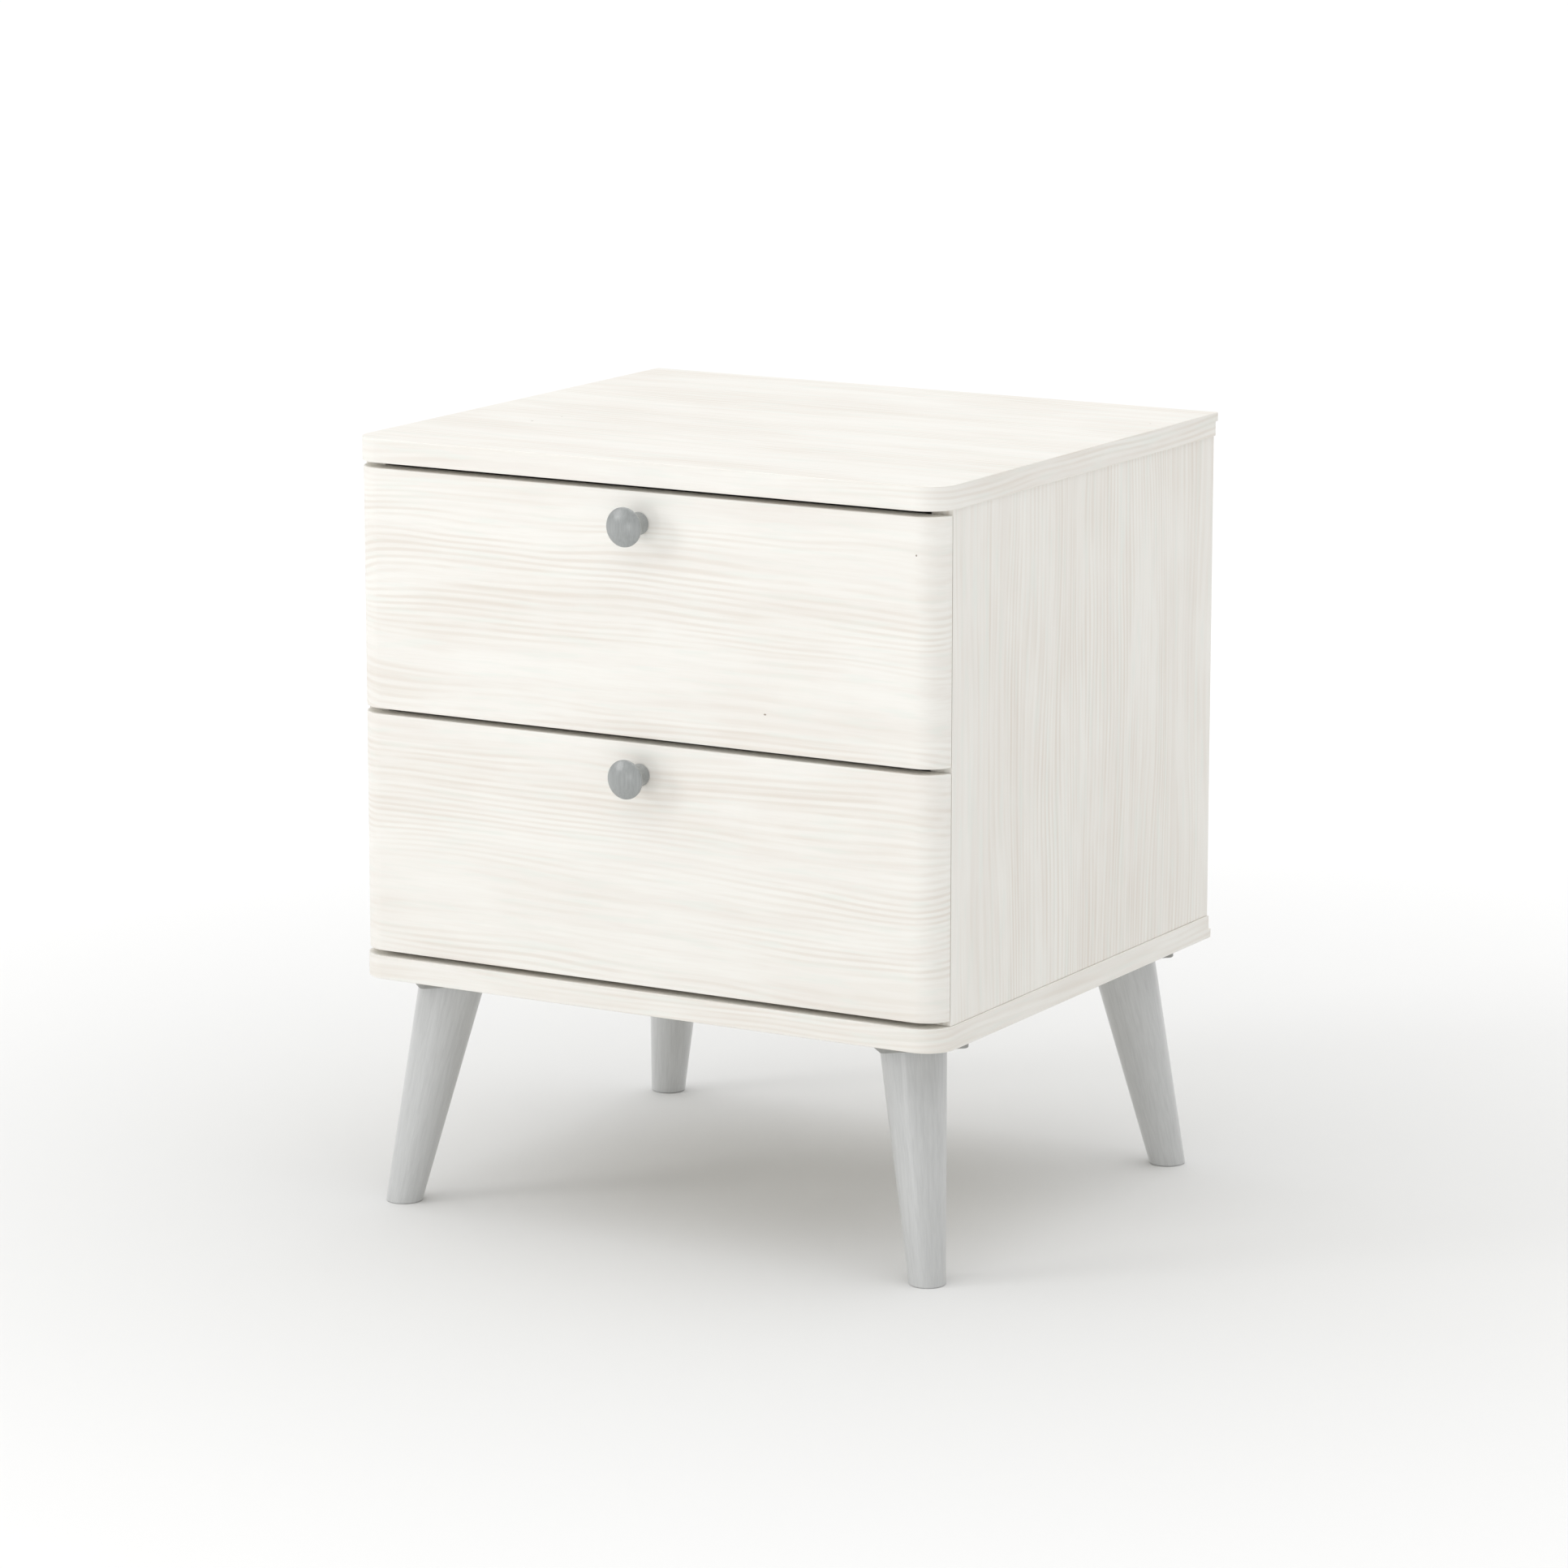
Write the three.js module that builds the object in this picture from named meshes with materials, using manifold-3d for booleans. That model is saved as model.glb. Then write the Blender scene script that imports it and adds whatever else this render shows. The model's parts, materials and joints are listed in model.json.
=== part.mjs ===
// Two-drawer nightstand on four splayed legs.
// Units are millimetres. +Z is up and the drawers open towards -Y.
// The origin is on the floor, at the centre of the whole piece seen from above.

import * as THREE from 'three';
import { mergeVertices } from 'three/addons/utils/BufferGeometryUtils.js';
import Module from 'manifold-3d';

const wasm = await Module();
wasm.setup();

// ---------------------------------------------------------------- driving dimensions

const WIDTH = 520;             // top and bottom panels, side to side
const DEPTH = 457;             // top and bottom panels, front to back
const HEIGHT = 612;            // floor to the upper face of the top
const PANEL = 18.5;            // thickness of the top and bottom panels
const OPENING = 390;           // clear height between them
const CORNER = 24;             // plan radius of the two front corners
const JOINT = 0.3;             // clearance where two pieces meet

const SIDE_BOARD = 18;         // thickness of a side panel
const SIDE_INSET = 1.5;        // side panel face, in from the end of the top
const SIDE_START = 20;         // side panel front edge, back from the front of the top
const REBATE_FACE = 452;       // depth at which the rear rebate starts
const LIP = 7;                 // thickness left behind the rebate
const BACK_BOARD = 3.2;        // hardboard of the back and the drawer bottoms
const BACK_INSET = 4;          // back panel edge, in from the side panel faces

const FRONT_BOARD = 18;        // thickness of a drawer front
const FRONT_INSET = 1;         // drawer front, in from the edges of the top
const FRONT_GAP = 4.3;         // gap above, between and below the fronts
const BOX_BOARD = 12;          // thickness of the drawer sides and back
const BOX_LENGTH = 396;        // length of a drawer side
const BOX_HEIGHT = 130;        // height of a drawer side
const BOX_RAISE = 14;          // drawer side lower edge above the front's lower edge
const GROOVE_RAISE = 10;       // bottom groove above the drawer side's lower edge
const GROOVE_HEIGHT = 3.8;
const GROOVE_DEPTH = 6;

const RUNNER_SPACE = 12.7;     // room for one pair of runners beside the drawer
const RUNNER_STEEL = 1.2;
const RUNNER_LENGTH = 396;
const CHANNEL_HEIGHT = 30;     // fixed runner, outside
const AXLE_SETBACK = 14;       // roller axle from the end of its runner
const AXLE_RADIUS = 2.5;
const ROLLER_BORE = 2.9;
const ROLLER_WIDTH = 6;
const FIXED_ROLLER = 10;       // roller radius on the fixed runner
const MOVING_ROLLER = 12;      // roller radius on the drawer runner

const KNOB_REACH = 26;         // drawer face to the crown of the knob
const KNOB_RIM = 15.3;         // largest radius of the knob
const KNOB_BASE = 8.7;         // radius where it meets the drawer
const KNOB_DROP = 24;          // knob axis below the front's upper edge

const LEG_TOP_X = 206.2;       // leg axis at the underside of the bottom panel
const LEG_TOP_SETBACK = 56.5;  // the same, in from the front and rear edges
const LEG_SPLAY = 30.3;        // foot moves out by this along X and along Y
const LEG_TOP_RADIUS = 26.2;
const LEG_FOOT_RADIUS = 14.1;
const PLATE_SIDE = 70;         // square leg plate
const PLATE = 6;               // its thickness
const PLATE_CORNER = 5;

// ---------------------------------------------------------------- derived places

const LEG_HEIGHT = HEIGHT - OPENING - 2 * PANEL;
const SHELF_TOP = LEG_HEIGHT + PANEL;
const FRONT_Y = (KNOB_REACH + JOINT - FRONT_INSET - DEPTH) / 2;
const FRONT_HEIGHT = (OPENING - 3 * FRONT_GAP) / 2;
const FRONT_BACK = FRONT_INSET + FRONT_BOARD;
const SIDE_OUTER = WIDTH / 2 - SIDE_INSET;
const SIDE_INNER = SIDE_OUTER - SIDE_BOARD;
const SIDE_MIDDLE = SIDE_OUTER - SIDE_BOARD / 2;
const SIDE_HEIGHT = OPENING - 2 * JOINT;
const SIDE_LENGTH = REBATE_FACE - SIDE_START;
const BOX_OUTER = SIDE_INNER - RUNNER_SPACE;
const BOX_INNER = BOX_OUTER - BOX_BOARD;
const BOX_START = FRONT_BACK + JOINT;
const BOX_END = BOX_START + BOX_LENGTH;
const KNOB_Z = FRONT_HEIGHT - KNOB_DROP;

// ---------------------------------------------------------------- finishes

function finish(color, roughness, metalness) {
  return new THREE.MeshStandardMaterial({ color, roughness, metalness });
}

const LAMINATE = finish(0xf3f1eb, 0.55, 0);       // washed pine laminate
const BOX_LAMINATE = finish(0xf0eee8, 0.6, 0);    // plain drawer box foil
const HARDBOARD = finish(0xe6e2da, 0.7, 0);       // painted hardboard
const GREY_PAINT = finish(0xbdbdbb, 0.45, 0);     // grey satin paint on wood
const PLATE_PAINT = finish(0xa9a9a6, 0.5, 0.3);   // grey painted steel
const RUNNER_PAINT = finish(0xeeeeec, 0.4, 0.2);  // white epoxy coated steel
const NYLON = finish(0xf4f3ee, 0.5, 0);
const ZINC = finish(0xb8b9bb, 0.35, 1);

// ---------------------------------------------------------------- solids

function toSolid(geometry) {
  const bare = geometry.clone();
  bare.deleteAttribute('normal');
  bare.deleteAttribute('uv');
  const merged = mergeVertices(bare, 1e-4);
  return new wasm.Manifold(new wasm.Mesh({
    numProp: 3,
    vertProperties: new Float32Array(merged.attributes.position.array),
    triVerts: new Uint32Array(merged.index.array),
  }));
}

function toGeometry(solid) {
  const mesh = solid.getMesh();
  const geometry = new THREE.BufferGeometry();
  geometry.setAttribute('position', new THREE.BufferAttribute(mesh.vertProperties, 3));
  geometry.setIndex(new THREE.BufferAttribute(mesh.triVerts, 1));
  return geometry;
}

// The first geometry with all the others taken out of it.
function cut(geometry, ...tools) {
  const solid = tools.reduce((rest, tool) => rest.subtract(toSolid(tool)), toSolid(geometry));
  return toGeometry(solid);
}

// One body from several geometries that overlap.
function join(...pieces) {
  const solid = pieces.slice(1).reduce((sum, piece) => sum.add(toSolid(piece)), toSolid(pieces[0]));
  return toGeometry(solid);
}

// A box from its lowest corner to its highest corner.
function block(low, high) {
  const size = high.map((value, axis) => value - low[axis]);
  const geometry = new THREE.BoxGeometry(...size);
  return geometry.translate(...low.map((value, axis) => value + size[axis] / 2));
}

// An outline drawn in X and Y, made thick along +Z from z = 0.
function thicken(shape, thickness, curveSegments = 8) {
  return new THREE.ExtrudeGeometry(shape, { depth: thickness, bevelEnabled: false, curveSegments });
}

// An outline drawn in X and Z, carried along +Y from y = 0.
function carryAlongY(points, length) {
  const shape = new THREE.Shape(points.map(([x, z]) => new THREE.Vector2(x, z)));
  return thicken(shape, length).rotateX(Math.PI / 2).translate(0, length, 0);
}

// A rod along +Z, +Y or +X, starting at the given point.
function rod(direction, radius, length, [x, y, z], segments = 12) {
  const geometry = new THREE.CylinderGeometry(radius, radius, length, segments);
  geometry.translate(0, length / 2, 0);
  if (direction === 'z') geometry.rotateX(Math.PI / 2);
  if (direction === 'x') geometry.rotateZ(-Math.PI / 2);
  return geometry.translate(x, y, z);
}

// A turned piece about +Z from a profile of [radius, height] points.
function turned(profile, segments = 24) {
  const points = profile.map(([radius, height]) => new THREE.Vector2(radius, height));
  return new THREE.LatheGeometry(points, segments).rotateX(Math.PI / 2);
}

function piece(name, geometry, material, position = [0, 0, 0]) {
  const mesh = new THREE.Mesh(geometry, material);
  mesh.name = name;
  mesh.position.set(...position);
  return mesh;
}

// ---------------------------------------------------------------- case

const SIDES = [['left', -1], ['right', 1]];
const CAM_RADIUS = 7.3;
const CAM_LENGTH = 12;
const CAM_DROP = 34;                  // cam centre below the side panel's upper edge
const CAM_DEPTHS = [70, 390];         // cam places back from the front of the top
const CASE_SCREW_DEPTHS = [120, 345]; // bottom screws back from the front
const CASE_SCREW_LENGTH = 49;
const CASE_SCREW_HEAD = 5;
const CASE_SCREW_HEAD_DEPTH = 4;
const CASE_SCREW_SHANK = 3.4;
const CASE_SCREW_THREAD = 2.6;
const BOLT_THREAD = 2.6;
const BOLT_BITE = 11;                 // how far the cam bolt reaches into the top panel
const BOLT_CHANNEL = 4;
const PILOT = 2.9;                    // pilot hole radius for a thread
const PILOT_SPARE = 0.5;              // pilot hole, deeper than the thread goes

// Outline of the top and bottom: square at the back, round at the two front corners.
function panelOutline() {
  const half = WIDTH / 2;
  const shape = new THREE.Shape();
  shape.moveTo(half, DEPTH);
  shape.lineTo(-half, DEPTH);
  shape.lineTo(-half, CORNER);
  shape.absarc(CORNER - half, CORNER, CORNER, Math.PI, 1.5 * Math.PI);
  shape.absarc(half - CORNER, CORNER, CORNER, 1.5 * Math.PI, 2 * Math.PI);
  shape.closePath();
  return shape;
}

// The step along the rear edge that the back panel sits in.
function rebate(low, high) {
  const reach = WIDTH;
  return block([-reach, REBATE_FACE, low], [reach, DEPTH + 1, high]);
}

function topPanel() {
  const pilots = [];
  for (const [, sign] of SIDES) {
    for (const depth of CAM_DEPTHS) {
      pilots.push(rod('z', PILOT, BOLT_BITE + PILOT_SPARE + 1, [sign * SIDE_MIDDLE, depth, -1]));
    }
  }
  return cut(thicken(panelOutline(), PANEL), rebate(-1, PANEL - LIP), ...pilots);
}

const LEG_BOLT_RELIEF = 8;
const LEG_BOLT_RELIEF_DEPTH = 10;

function bottomPanel() {
  const holes = [];
  for (const [, sign] of SIDES) {
    for (const depth of CASE_SCREW_DEPTHS) {
      const x = sign * SIDE_MIDDLE;
      holes.push(rod('z', CASE_SCREW_SHANK + JOINT, PANEL + 2, [x, depth, -1]));
      holes.push(rod('z', CASE_SCREW_HEAD + JOINT, CASE_SCREW_HEAD_DEPTH + 1, [x, depth, -1]));
    }
    for (const depth of [LEG_TOP_SETBACK, DEPTH - LEG_TOP_SETBACK]) {
      const place = [sign * LEG_TOP_X, depth, -1];
      holes.push(rod('z', LEG_BOLT_RELIEF, LEG_BOLT_RELIEF_DEPTH + 1, place));
    }
  }
  return cut(thicken(panelOutline(), PANEL), rebate(LIP, PANEL + 1), ...holes);
}

// A side panel about its own middle plane; `inward` is the sign of X towards the drawers.
function sidePanel(inward) {
  const half = SIDE_BOARD / 2;
  const board = block([-half, 0, 0], [half, SIDE_LENGTH, SIDE_HEIGHT]);
  const holes = [];
  for (const depth of CAM_DEPTHS) {
    const y = depth - SIDE_START;
    const bore = CAM_LENGTH + 2 * JOINT;
    const start = inward > 0 ? half - bore : -half - 1;
    holes.push(rod('x', CAM_RADIUS + JOINT, bore + 1, [start, y, SIDE_HEIGHT - CAM_DROP], 20));
    holes.push(rod('z', BOLT_CHANNEL, CAM_DROP + 1, [0, y, SIDE_HEIGHT - CAM_DROP]));
  }
  const bite = CASE_SCREW_LENGTH - PANEL + PILOT_SPARE;
  for (const depth of CASE_SCREW_DEPTHS) {
    holes.push(rod('z', PILOT, bite + 1, [0, depth - SIDE_START, -1]));
  }
  return cut(board, ...holes);
}

// Round cam with a mouth for the bolt's head and a cross recess in its face at x = 0.
function camLock() {
  const body = rod('x', CAM_RADIUS, CAM_LENGTH, [-CAM_LENGTH, 0, 0], 20);
  const mouth = rod('z', BOLT_CHANNEL, CAM_RADIUS + 5, [-(SIDE_BOARD / 2), 0, -4]);
  const slotDepth = 2;
  const slotHalf = 0.8;
  const slotReach = 3.5;
  const across = block([-slotDepth, -slotReach, -slotHalf], [1, slotReach, slotHalf]);
  const upright = block([-slotDepth, -slotHalf, -slotReach], [1, slotHalf, slotReach]);
  return cut(body, mouth, across, upright);
}

// Cam bolt about +Z: head at the cam, collar at the joint, thread up in the top panel.
function camBolt() {
  return turned([
    [0, -1.5], [3, -1.5], [3.4, 0], [3, 1.5], [1.8, 2.5], [1.8, 26],
    [3.5, 27], [3.5, CAM_DROP - 1], [BOLT_THREAD, CAM_DROP - 1],
    [BOLT_THREAD, CAM_DROP + BOLT_BITE], [0, CAM_DROP + BOLT_BITE],
  ], 12);
}

// Long wood screw about +Z, its head flush with the underside of the bottom panel.
function caseScrew() {
  const socket = 2;
  const socketDepth = 2.5;
  const headFace = 0.2;
  return turned([
    [0, socketDepth], [socket, socketDepth], [socket, headFace], [CASE_SCREW_HEAD, headFace],
    [CASE_SCREW_HEAD, CASE_SCREW_HEAD_DEPTH - JOINT], [CASE_SCREW_SHANK, CASE_SCREW_HEAD_DEPTH],
    [CASE_SCREW_SHANK, PANEL - 2], [CASE_SCREW_THREAD, PANEL - 1],
    [CASE_SCREW_THREAD, CASE_SCREW_LENGTH - 3], [0, CASE_SCREW_LENGTH],
  ], 12);
}

function caseGroup() {
  const group = new THREE.Group();
  group.position.y = FRONT_Y;
  const sideBottom = SHELF_TOP + JOINT;
  group.add(piece('bottom_panel', bottomPanel(), LAMINATE, [0, 0, LEG_HEIGHT]));
  group.add(piece('top_panel', topPanel(), LAMINATE, [0, 0, HEIGHT - PANEL]));

  const backHalf = SIDE_OUTER - BACK_INSET;
  const backHeight = OPENING + 2 * (PANEL - LIP - JOINT);
  const backBoard = block([-backHalf, 0, 0], [backHalf, BACK_BOARD, backHeight]);
  const backPlace = [0, REBATE_FACE + JOINT, LEG_HEIGHT + LIP + JOINT];
  group.add(piece('back_panel', backBoard, HARDBOARD, backPlace));

  for (const [side, sign] of SIDES) {
    const x = sign * SIDE_MIDDLE;
    group.add(piece(`side_panel_${side}`, sidePanel(-sign), LAMINATE, [x, SIDE_START, sideBottom]));
    for (const [end, depth] of [['front', CAM_DEPTHS[0]], ['rear', CAM_DEPTHS[1]]]) {
      const camZ = sideBottom + SIDE_HEIGHT - CAM_DROP;
      const cam = piece(`cam_lock_${end}_${side}`, camLock(), ZINC);
      cam.position.set(sign * (SIDE_INNER + JOINT), depth, camZ);
      cam.rotation.z = sign > 0 ? Math.PI : 0;
      group.add(cam);
      group.add(piece(`cam_bolt_${end}_${side}`, camBolt(), ZINC, [x, depth, camZ]));
    }
    for (const [end, depth] of [['front', CASE_SCREW_DEPTHS[0]], ['rear', CASE_SCREW_DEPTHS[1]]]) {
      group.add(piece(`case_screw_${end}_${side}`, caseScrew(), ZINC, [x, depth, LEG_HEIGHT]));
    }
  }
  return group;
}

// ---------------------------------------------------------------- legs

const SPLAY_ANGLE = Math.atan2(Math.SQRT2 * LEG_SPLAY, LEG_HEIGHT);
const LEG_BOLT_RADIUS = 3.8;
const LEG_BOLT_IN_LEG = 42;
const LEG_BOLT_ABOVE = 7;
const LEG_BOLT_CLEARANCE = 0.4;

// A rod along the leg's own axis, between two distances measured up that axis.
function rodOnLegAxis(radius, from, to) {
  return rod('z', radius, to - from, [0, 0, from]).rotateY(-SPLAY_ANGLE);
}

// Turned taper, cut level at the plate and at the floor. It splays towards its own +X.
function leg() {
  const slant = LEG_HEIGHT / Math.cos(SPLAY_ANGLE);
  const spare = 10;
  const slope = (LEG_TOP_RADIUS - LEG_FOOT_RADIUS) / slant;
  const taper = turned([
    [0, -slant - spare], [LEG_FOOT_RADIUS - slope * spare, -slant - spare],
    [LEG_TOP_RADIUS + slope * spare, spare], [0, spare],
  ], 32).rotateY(-SPLAY_ANGLE);
  const reach = 200;
  const topFace = -PLATE - 2 * JOINT;
  const aboveTop = block([-reach, -reach, topFace], [reach, reach, reach]);
  const belowFoot = block([-reach, -reach, -2 * reach], [reach, reach, -LEG_HEIGHT]);
  const bore = rodOnLegAxis(LEG_BOLT_RADIUS + LEG_BOLT_CLEARANCE, -LEG_BOLT_IN_LEG - 10, 10);
  return cut(taper, aboveTop, belowFoot, bore);
}

function legPlate() {
  const half = PLATE_SIDE / 2;
  const inner = half - PLATE_CORNER;
  const shape = new THREE.Shape();
  shape.absarc(inner, inner, PLATE_CORNER, 0, Math.PI / 2);
  shape.absarc(-inner, inner, PLATE_CORNER, Math.PI / 2, Math.PI);
  shape.absarc(-inner, -inner, PLATE_CORNER, Math.PI, 1.5 * Math.PI);
  shape.absarc(inner, -inner, PLATE_CORNER, 1.5 * Math.PI, 2 * Math.PI);
  shape.closePath();
  const plate = thicken(shape, PLATE, 4).translate(0, 0, -PLATE - JOINT);
  const reach = 20;
  return cut(plate, rodOnLegAxis(LEG_BOLT_RADIUS + LEG_BOLT_CLEARANCE, -reach, reach));
}

function legGroup() {
  const group = new THREE.Group();
  const places = [
    ['front_left', -1, LEG_TOP_SETBACK, -0.75 * Math.PI],
    ['front_right', 1, LEG_TOP_SETBACK, -0.25 * Math.PI],
    ['rear_left', -1, DEPTH - LEG_TOP_SETBACK, 0.75 * Math.PI],
    ['rear_right', 1, DEPTH - LEG_TOP_SETBACK, 0.25 * Math.PI],
  ];
  for (const [name, sign, setback, turn] of places) {
    const corner = new THREE.Group();
    corner.position.set(sign * LEG_TOP_X, FRONT_Y + setback, LEG_HEIGHT);
    corner.rotation.z = turn;
    const bolt = rodOnLegAxis(LEG_BOLT_RADIUS, -LEG_BOLT_IN_LEG - 6, LEG_BOLT_ABOVE);
    corner.add(piece(`leg_${name}`, leg(), GREY_PAINT));
    corner.add(piece(`leg_plate_${name}`, legPlate(), PLATE_PAINT));
    corner.add(piece(`leg_bolt_${name}`, bolt, ZINC));
    group.add(corner);
  }
  return group;
}

// ---------------------------------------------------------------- runners

// Heights below are measured from the lower edge of the fixed channel, and distances
// `s` from the inner face of the side panel towards the drawer.
const CHANNEL_BELOW_BOX = 3.5;
const CHANNEL_REACH = 10;
const CHANNEL_WEB = JOINT + RUNNER_STEEL;
const FIXED_AXLE_Z = 12.5;
const MOVING_AXLE_Z = RUNNER_STEEL + JOINT + MOVING_ROLLER;
const FLANGE_Z = FIXED_AXLE_Z + FIXED_ROLLER + JOINT;
const WEB_NEAR = RUNNER_SPACE - JOINT - RUNNER_STEEL;
const WEB_FAR = RUNNER_SPACE - JOINT;
const WRAP_END = 24;
const FLANGE_END = 2.6;
const RIVET_HEAD = 4.5;
const FIXED_ROLLER_S = 2.2;
const MOVING_ROLLER_S = 3.6;

// A rod across the runner space between two distances s. The runner lies on the side
// of the case given by `sign`, and its own x = 0 is the side panel's inner face.
function crossRod(sign, radius, fromS, toS, y, z) {
  const start = sign > 0 ? -toS : fromS;
  return rod('x', radius, toS - fromS, [start, y, z]);
}

// Fixed runner: a steel channel open towards the drawer, with the riveted front axle.
function fixedRunner(sign) {
  const inside = CHANNEL_HEIGHT - RUNNER_STEEL;
  const section = [
    [JOINT, 0], [CHANNEL_REACH, 0], [CHANNEL_REACH, RUNNER_STEEL], [CHANNEL_WEB, RUNNER_STEEL],
    [CHANNEL_WEB, inside], [CHANNEL_REACH - 1.5, inside], [CHANNEL_REACH - 1.5, CHANNEL_HEIGHT],
    [JOINT, CHANNEL_HEIGHT],
  ].map(([s, z]) => [-sign * s, z]);
  const rollerEnd = FIXED_ROLLER_S + ROLLER_WIDTH + JOINT;
  const axle = crossRod(sign, AXLE_RADIUS, JOINT, rollerEnd + 0.8, AXLE_SETBACK, FIXED_AXLE_Z);
  const head = crossRod(sign, RIVET_HEAD, rollerEnd, rollerEnd + 0.8, AXLE_SETBACK, FIXED_AXLE_Z);
  return join(carryAlongY(section, RUNNER_LENGTH), axle, head);
}

// Drawer runner: a flange over the front roller, a web beside the drawer side and a
// flange under it. The upper flange stops short of the rear roller.
function drawerRunner(sign) {
  const wrapLow = CHANNEL_BELOW_BOX - JOINT - RUNNER_STEEL;
  const wrapHigh = CHANNEL_BELOW_BOX - JOINT;
  const flangeHigh = FLANGE_Z + RUNNER_STEEL;
  const section = [
    [WRAP_END, wrapLow], [WRAP_END, wrapHigh], [WEB_FAR, wrapHigh], [WEB_FAR, flangeHigh],
    [FLANGE_END, flangeHigh], [FLANGE_END, FLANGE_Z], [WEB_NEAR, FLANGE_Z], [WEB_NEAR, wrapLow],
  ].map(([s, z]) => [-sign * s, z]);
  const axleY = RUNNER_LENGTH - AXLE_SETBACK;
  const notchStart = axleY - MOVING_ROLLER - 2;
  const notchNear = -sign * WEB_NEAR;
  const notch = block(
    [Math.min(0, notchNear), notchStart, FLANGE_Z - 1],
    [Math.max(0, notchNear), RUNNER_LENGTH + 1, flangeHigh + 1],
  );
  const headS = MOVING_ROLLER_S - JOINT - 0.8;
  const axle = crossRod(sign, AXLE_RADIUS, headS, WEB_FAR, axleY, MOVING_AXLE_Z);
  const head = crossRod(sign, RIVET_HEAD, headS, headS + 0.8, axleY, MOVING_AXLE_Z);
  return join(cut(carryAlongY(section, RUNNER_LENGTH), notch), axle, head);
}

// Nylon roller about X, centred on its own origin.
function roller(radius) {
  const half = ROLLER_WIDTH / 2;
  const profile = [
    [ROLLER_BORE, -half], [radius, -half], [radius, half], [ROLLER_BORE, half],
    [ROLLER_BORE, -half],
  ];
  return turned(profile, 24).rotateY(Math.PI / 2);
}

// ---------------------------------------------------------------- drawers

const KNOB_BORE = 2.3;
const SCREW_SHANK = 1.9;
const SCREW_HEAD = 4.2;
const SCREW_HEAD_HEIGHT = 2.4;
const SCREW_IN_KNOB = 10;

// Front with rounded ends that follow the top's corners, a groove for the bottom and a
// hole for the knob screw. Its own y = 0 is the front of the top.
function drawerFront() {
  const centreX = WIDTH / 2 - CORNER;
  const radius = CORNER - FRONT_INSET;
  const sweep = Math.acos((CORNER - FRONT_BACK) / radius);
  const shape = new THREE.Shape();
  shape.absarc(-centreX, CORNER, radius, 1.5 * Math.PI - sweep, 1.5 * Math.PI);
  shape.absarc(centreX, CORNER, radius, 1.5 * Math.PI, 1.5 * Math.PI + sweep);
  shape.closePath();
  const grooveLow = BOX_RAISE + GROOVE_RAISE;
  const groove = block(
    [-BOX_INNER - GROOVE_DEPTH, FRONT_BACK - GROOVE_DEPTH, grooveLow],
    [BOX_INNER + GROOVE_DEPTH, FRONT_BACK + 1, grooveLow + GROOVE_HEIGHT],
  );
  const bore = rod('y', KNOB_BORE, FRONT_BACK + 2, [0, 0, KNOB_Z]);
  return cut(thicken(shape, FRONT_HEIGHT, 8), groove, bore);
}

// Side board with its bottom groove on the inner face. Its own x = 0 is the outer face.
function drawerSide(sign) {
  const low = GROOVE_RAISE;
  const high = GROOVE_RAISE + GROOVE_HEIGHT;
  const bed = BOX_BOARD - GROOVE_DEPTH;
  const section = [
    [0, 0], [BOX_BOARD, 0], [BOX_BOARD, low], [bed, low],
    [bed, high], [BOX_BOARD, high], [BOX_BOARD, BOX_HEIGHT], [0, BOX_HEIGHT],
  ].map(([s, z]) => [-sign * s, z]);
  return carryAlongY(section, BOX_LENGTH);
}

// Back board between the sides, with the same groove on its front face.
function drawerBack() {
  const half = BOX_INNER - JOINT;
  const board = block([-half, 0, 0], [half, BOX_BOARD, BOX_HEIGHT]);
  const groove = block(
    [-half - 1, -1, GROOVE_RAISE],
    [half + 1, GROOVE_DEPTH, GROOVE_RAISE + GROOVE_HEIGHT],
  );
  return cut(board, groove);
}

// Knob about +Z from the drawer face, with a blind hole for its screw.
function knob() {
  const hole = 2.2;
  const holeDepth = SCREW_IN_KNOB + 2;
  const profile = [
    [0, holeDepth], [hole, holeDepth], [hole, 0], [KNOB_BASE - 0.4, 0], [KNOB_BASE, 0.4],
    [7.6, 3.5], [6.9, 8], [7.3, 12.5], [9.4, 16], [12.3, 18.5], [14.6, 20.3],
    [KNOB_RIM, 21.4], [KNOB_RIM - 0.4, 22.4], [13.4, 23.6], [8.6, 25.2],
    [0, KNOB_REACH],
  ];
  return turned(profile, 24);
}

// Pan head machine screw about +Z: head below z = 0, shank above.
function knobScrew() {
  const length = FRONT_BOARD + SCREW_IN_KNOB;
  return turned([
    [0, -SCREW_HEAD_HEIGHT], [SCREW_HEAD - 1, -SCREW_HEAD_HEIGHT], [SCREW_HEAD, -1.2],
    [SCREW_HEAD, 0], [SCREW_SHANK, 0], [SCREW_SHANK, length], [0, length],
  ], 12);
}

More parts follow.
